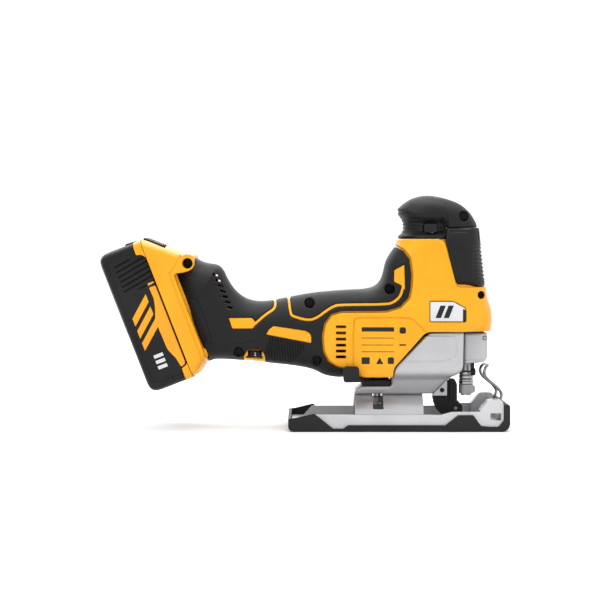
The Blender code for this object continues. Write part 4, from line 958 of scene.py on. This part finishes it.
def battery_label(hand):
    """The label's printed shapes: a band, slanted stripes and three plain bars, set into the panel."""
    low, high = (-38.0, -35.4) if hand == "right" else (35.4, 38.0)
    g = Grid((-215, low, 36), (-150, high, 132), FINE)
    slab = np.abs(g.w - 36.35) - 0.32
    for name, groups, look in (
        ("band", [LABEL_BAND] + LABEL_STRIPES, LABEL_YELLOW),
        ("bars", LABEL_DOTS, LABEL_WHITE),
    ):
        field = smax(union(g.pack(points) for points in groups), slab, 0.15)
        piece = f"battery_label_{name}_{hand}"
        solid(piece, g, field, look, "battery", (), PRINTED)


# ---------------------------------------------------------------- badge and plate marks

PLATE_BARS = [
    [(-28.5, 79.6, 0.4), (-3.5, 79.6, 0.4), (-3.5, 76.2, 0.4), (-28.5, 76.2, 0.4)],
    [(-28.5, 71.6), (-3.5, 71.6), (-3.5, 71.0), (-28.5, 71.0)],
    [(-28.5, 66.2), (-3.5, 66.2), (-3.5, 65.6), (-28.5, 65.6)],
    [(-28.5, 61.0), (-3.5, 61.0), (-3.5, 60.4), (-28.5, 60.4)],
    [(-28.5, 56.6, 0.5), (-22, 56.6, 0.5), (-22, 51.2, 0.5), (-28.5, 51.2, 0.5)],
    [(-17.5, 51.2), (-11.5, 51.2), (-14.5, 56.6)],
    [(-8.5, 56.6, 1.5), (-3.5, 56.6, 1.5), (-3.5, 51.2, 1.5), (-8.5, 51.2, 1.5)],
    [(0.5, 79.6, 1.6), (5.5, 79.6, 1.6), (5.5, 74.6, 1.6), (0.5, 74.6, 1.6)],
    [(0.5, 66.6), (5.5, 66.6), (5.5, 65.4), (0.5, 65.4)],
]
BADGE_MARK = [[(x, 86.6), (x + 4.2, 86.6), (x + 8, 96.2), (x + 3.8, 96.2)] for x in (28, 34.2)]
BADGE_BAR = [(49.2, 93.6), (51.1, 92.4), (51.1, 84.2), (49.2, 84.2)]


def badges(hand):
    """The badge on the tower's side and the plain marks on the rating plate."""
    low, high = (-35, -28) if hand == "right" else (28, 35)
    g = Grid((20, low, 80), (55, high, 103), FINE)
    proud = envelope(g, PROUD)
    plate = smax(np.abs(proud + 0.55) - 0.42, g.side(BADGE) + 0.35, 0.25)
    bar = g.side(BADGE_BAR)
    plate = np.maximum(plate, 0.1 - bar)
    solid(f"badge_plate_{hand}", g, plate, LABEL_WHITE, "body", (), PRINTED)
    rim = np.abs(g.side(BADGE) + 0.2) - 0.24
    dark = union([bar, *(g.side(points) for points in BADGE_MARK), rim])
    mark = smax(np.abs(proud + 0.2) - 0.3, dark, 0.12)
    solid(f"badge_mark_{hand}", g, mark, LABEL, "body", (), PRINTED)
    g = Grid((-31, low, 48), (9, high, 82), FINE)
    bars = union(g.side(points) for points in PLATE_BARS)
    bars = smax(np.abs(envelope(g, PROUD)) - 0.22, bars, 0.1)
    solid(f"plate_marks_{hand}", g, bars, LABEL, "body", (), PRINTED)


front_grip()
knob()
gear_case()
clamp_seat()
clamp_washer()
roller_fork()
release_lever()
battery()
release_flap()
for hand in ("right", "left"):
    battery_label(hand)
    badges(hand)


# ---------------------------------------------------------------- pieces from the CAD shapes

REFINED = [
    # node, look, slot, edge width, segments
    ("shoe", ALUMINIUM, "silver_paint", 0.5, 3),
    ("sole_cover", SOLE_BLACK, "black_plastic", 0.5, 3),
    ("splinter_insert", SOLE_BLACK, "black_plastic", 0.25, 2),
    ("bevel_bracket", ALUMINIUM, "silver_paint", 0.4, 2),
    ("plunger_guide", SILVER_DARK, "silver_paint", 0.5, 2),
    ("roller_arm_bracket", SILVER, "silver_paint", 0.5, 3),
    ("roller_arm", PLASTIC, "black_plastic", 0.4, 2),
    ("roller_axle", STEEL, "steel", 0.3, 2),
    ("guide_roller", TURNED, "steel", 0.2, 2),
    ("bevel_lever", PLASTIC, "black_plastic", 0.6, 3),
    ("bevel_clamp_bolt", STEEL, "steel", 0.4, 2),
    ("clamp_body", STEEL, "steel", 0.3, 2),
    ("clamp_spring", TURNED, "steel", 0.15, 1),
    ("clamp_collar", SILVER_DARK, "silver_paint", 0.3, 2),
    ("led_housing", PLASTIC, "black_plastic", 0.3, 2),
    ("led_lens", LENS, "lens", 0.15, 2),
    ("lever_pin", STEEL, "steel", 0.25, 2),
    ("switch_button", PLASTIC, "black_plastic", 0.7, 3),
    ("speed_dial", PLASTIC, "black_plastic", 0.3, 2),
    ("orbit_lever", PLASTIC, "black_plastic", 0.6, 3),
    ("battery_case_upper", PACK_BLACK, "battery_plastic", 0.5, 2),
    ("battery_latch", PACK_BLACK, "battery_plastic", 0.4, 2),
]
CARRIED = {
    "rotor": DARK_STEEL, "motor_stator": COPPER, "cooling_fan": PLASTIC,
    "motor_bearing_front": STEEL, "motor_bearing_rear": STEEL, "pinion": STEEL,
    "drive_gear": DARK_STEEL, "gear_axle": STEEL, "crank_pin": STEEL, "plunger": STEEL,
    "plunger_bush_upper": BRASS, "plunger_bush_lower": BRASS, "control_module": PLASTIC,
    "switch_module": PLASTIC, "terminal_block": PLASTIC, "cell_block": CELLS,
}
for node, look, slot, width, segments in REFINED:
    refined(node, look, width, segments)
for node, look in CARRIED.items():
    NODES[node].data.materials.clear()
    NODES[node].data.materials.append(look)


def dial_digits():
    """The numbers round the rim of the speed dial."""
    radius, height = 7.55, 3.4
    for index in range(6):
        curve = bpy.data.curves.new(f"dial_digit_{index + 1}", "FONT")
        curve.body = str((index + 1) % 6 + 1)
        curve.size = height * MM
        curve.extrude = 0.22 * MM
        curve.bevel_depth = 0.04 * MM
        curve.align_x = "CENTER"
        curve.align_y = "CENTER"
        holder = bpy.data.objects.new("digit", curve)
        bpy.context.scene.collection.objects.link(holder)
        graph = bpy.context.evaluated_depsgraph_get()
        mesh = bpy.data.meshes.new_from_object(holder.evaluated_get(graph))
        bpy.data.objects.remove(holder, do_unlink=True)
        turn = Matrix.Rotation(math.radians(45 * index), 4, "Z")
        stand = Matrix.Translation((0, -radius * MM, 0)) @ Matrix.Rotation(math.radians(90), 4, "X")
        mesh.transform(Matrix.Translation(Vector(DIAL_AT) * MM) @ turn @ stand)
        digit = bpy.data.objects.new(f"dial_digit_{index + 1}", mesh)
        place(digit, LABEL_WHITE, "dial", ())


dial_digits()


def finger_guard():
    """The bent wire in front of the blade, on a smooth curve."""
    route = [(78, -17, 20.3), (81.2, -17, 24.2), (80.4, -17, 29), (75.6, -17, 33.6), (70.4, -16, 37.6)]
    # From here it leans inwards, to pass between the nose cover's cheeks when that swings down
    route += [(67.6, -14.6, 41.6), (67.9, -13.6, 45.4), (69.6, -12, 48), (71.4, -8, 48.6)]
    route += [(x, -y, z) for x, y, z in reversed(route)]
    curve = bpy.data.curves.new("guard_wire", "CURVE")
    curve.dimensions = "3D"
    curve.bevel_depth = 1.2 * MM
    curve.bevel_resolution = 6
    curve.use_fill_caps = True
    spline = curve.splines.new("NURBS")
    spline.points.add(len(route) - 1)
    for target, point in zip(spline.points, route):
        target.co = (*(c * MM for c in point), 1)
    spline.order_u = 3
    spline.use_endpoint_u = True
    spline.resolution_u = 10
    obj = bpy.data.objects.new("guard_wire", curve)
    place(obj, CHROME, "shoe", ("finger_guard",))


finger_guard()
for node in NODES:
    if "screw" in node:
        # The housing screws are near-black: painted shade, standing in for the dark at the bottom of
        # their deep recesses
        refined(node, DARK_STEEL if node.startswith("housing") else STEEL, 0.3, 2)


# ---------------------------------------------------------------- camera, light and floor


AIM = Vector((-75.6, 0, 99.3)) * MM
CAMERA_TILT, CAMERA_REACH = math.radians(2), 1.25
WORLD_STRENGTH = 1.12  # the floor and the background come out white with this
LIGHTS = [
    # name, place in metres, size, power
    ("key", (-0.55, -0.9, 1.05), 0.6, 5),
    ("fill", (0.9, -0.9, 0.5), 0.9, 1.5),
    ("top", (0.0, 0.15, 1.2), 0.7, 9),
    ("back", (-0.2, 1.0, 0.7), 0.9, 5),
]
FLOOR_HALF = 60
FLOOR_DROP = 0.0002  # keeps the sole clear of the floor


def studio():
    scene = bpy.context.scene
    camera = bpy.data.cameras.new("camera")
    camera.lens = 95.5
    camera.sensor_width = 36
    camera.clip_end = 200
    holder = bpy.data.objects.new("camera", camera)
    scene.collection.objects.link(holder)
    holder.location = AIM + Vector((0, -math.cos(CAMERA_TILT), math.sin(CAMERA_TILT))) * CAMERA_REACH
    holder.rotation_euler = (math.radians(90) - CAMERA_TILT, 0, 0)
    scene.camera = holder
    for name, light_at, size, power in LIGHTS:
        light = bpy.data.lights.new(name, "AREA")
        light.shape = "SQUARE"
        light.size = size
        light.energy = power
        holder = bpy.data.objects.new(name, light)
        scene.collection.objects.link(holder)
        holder.location = light_at
        holder.rotation_euler = (AIM - Vector(light_at)).to_track_quat("-Z", "Y").to_euler()
    world = bpy.data.worlds.new("studio")
    world.use_nodes = True
    background = world.node_tree.nodes["Background"]
    background.inputs["Color"].default_value = (1, 1, 1, 1)
    background.inputs["Strength"].default_value = WORLD_STRENGTH
    scene.world = world
    scene.view_settings.view_transform = "Standard"
    bm = bmesh.new()
    bmesh.ops.create_grid(bm, x_segments=1, y_segments=1, size=FLOOR_HALF)
    mesh = bpy.data.meshes.new("floor")
    bm.to_mesh(mesh)
    bm.free()
    floor = bpy.data.objects.new("floor", mesh)
    scene.collection.objects.link(floor)
    floor.location = (0, 0, -FLOOR_DROP)
    look = Look("floor", Specular_IOR_Level=0.2)
    colour = look.colours(look.noise(3.0, 2.0), (0.88, 0.88, 0.88), (0.92, 0.92, 0.92))
    roughness = look.span(look.noise(8.0), 0.75, 0.85)
    floor.data.materials.append(look.use(Base_Color=colour, Roughness=roughness))


studio()
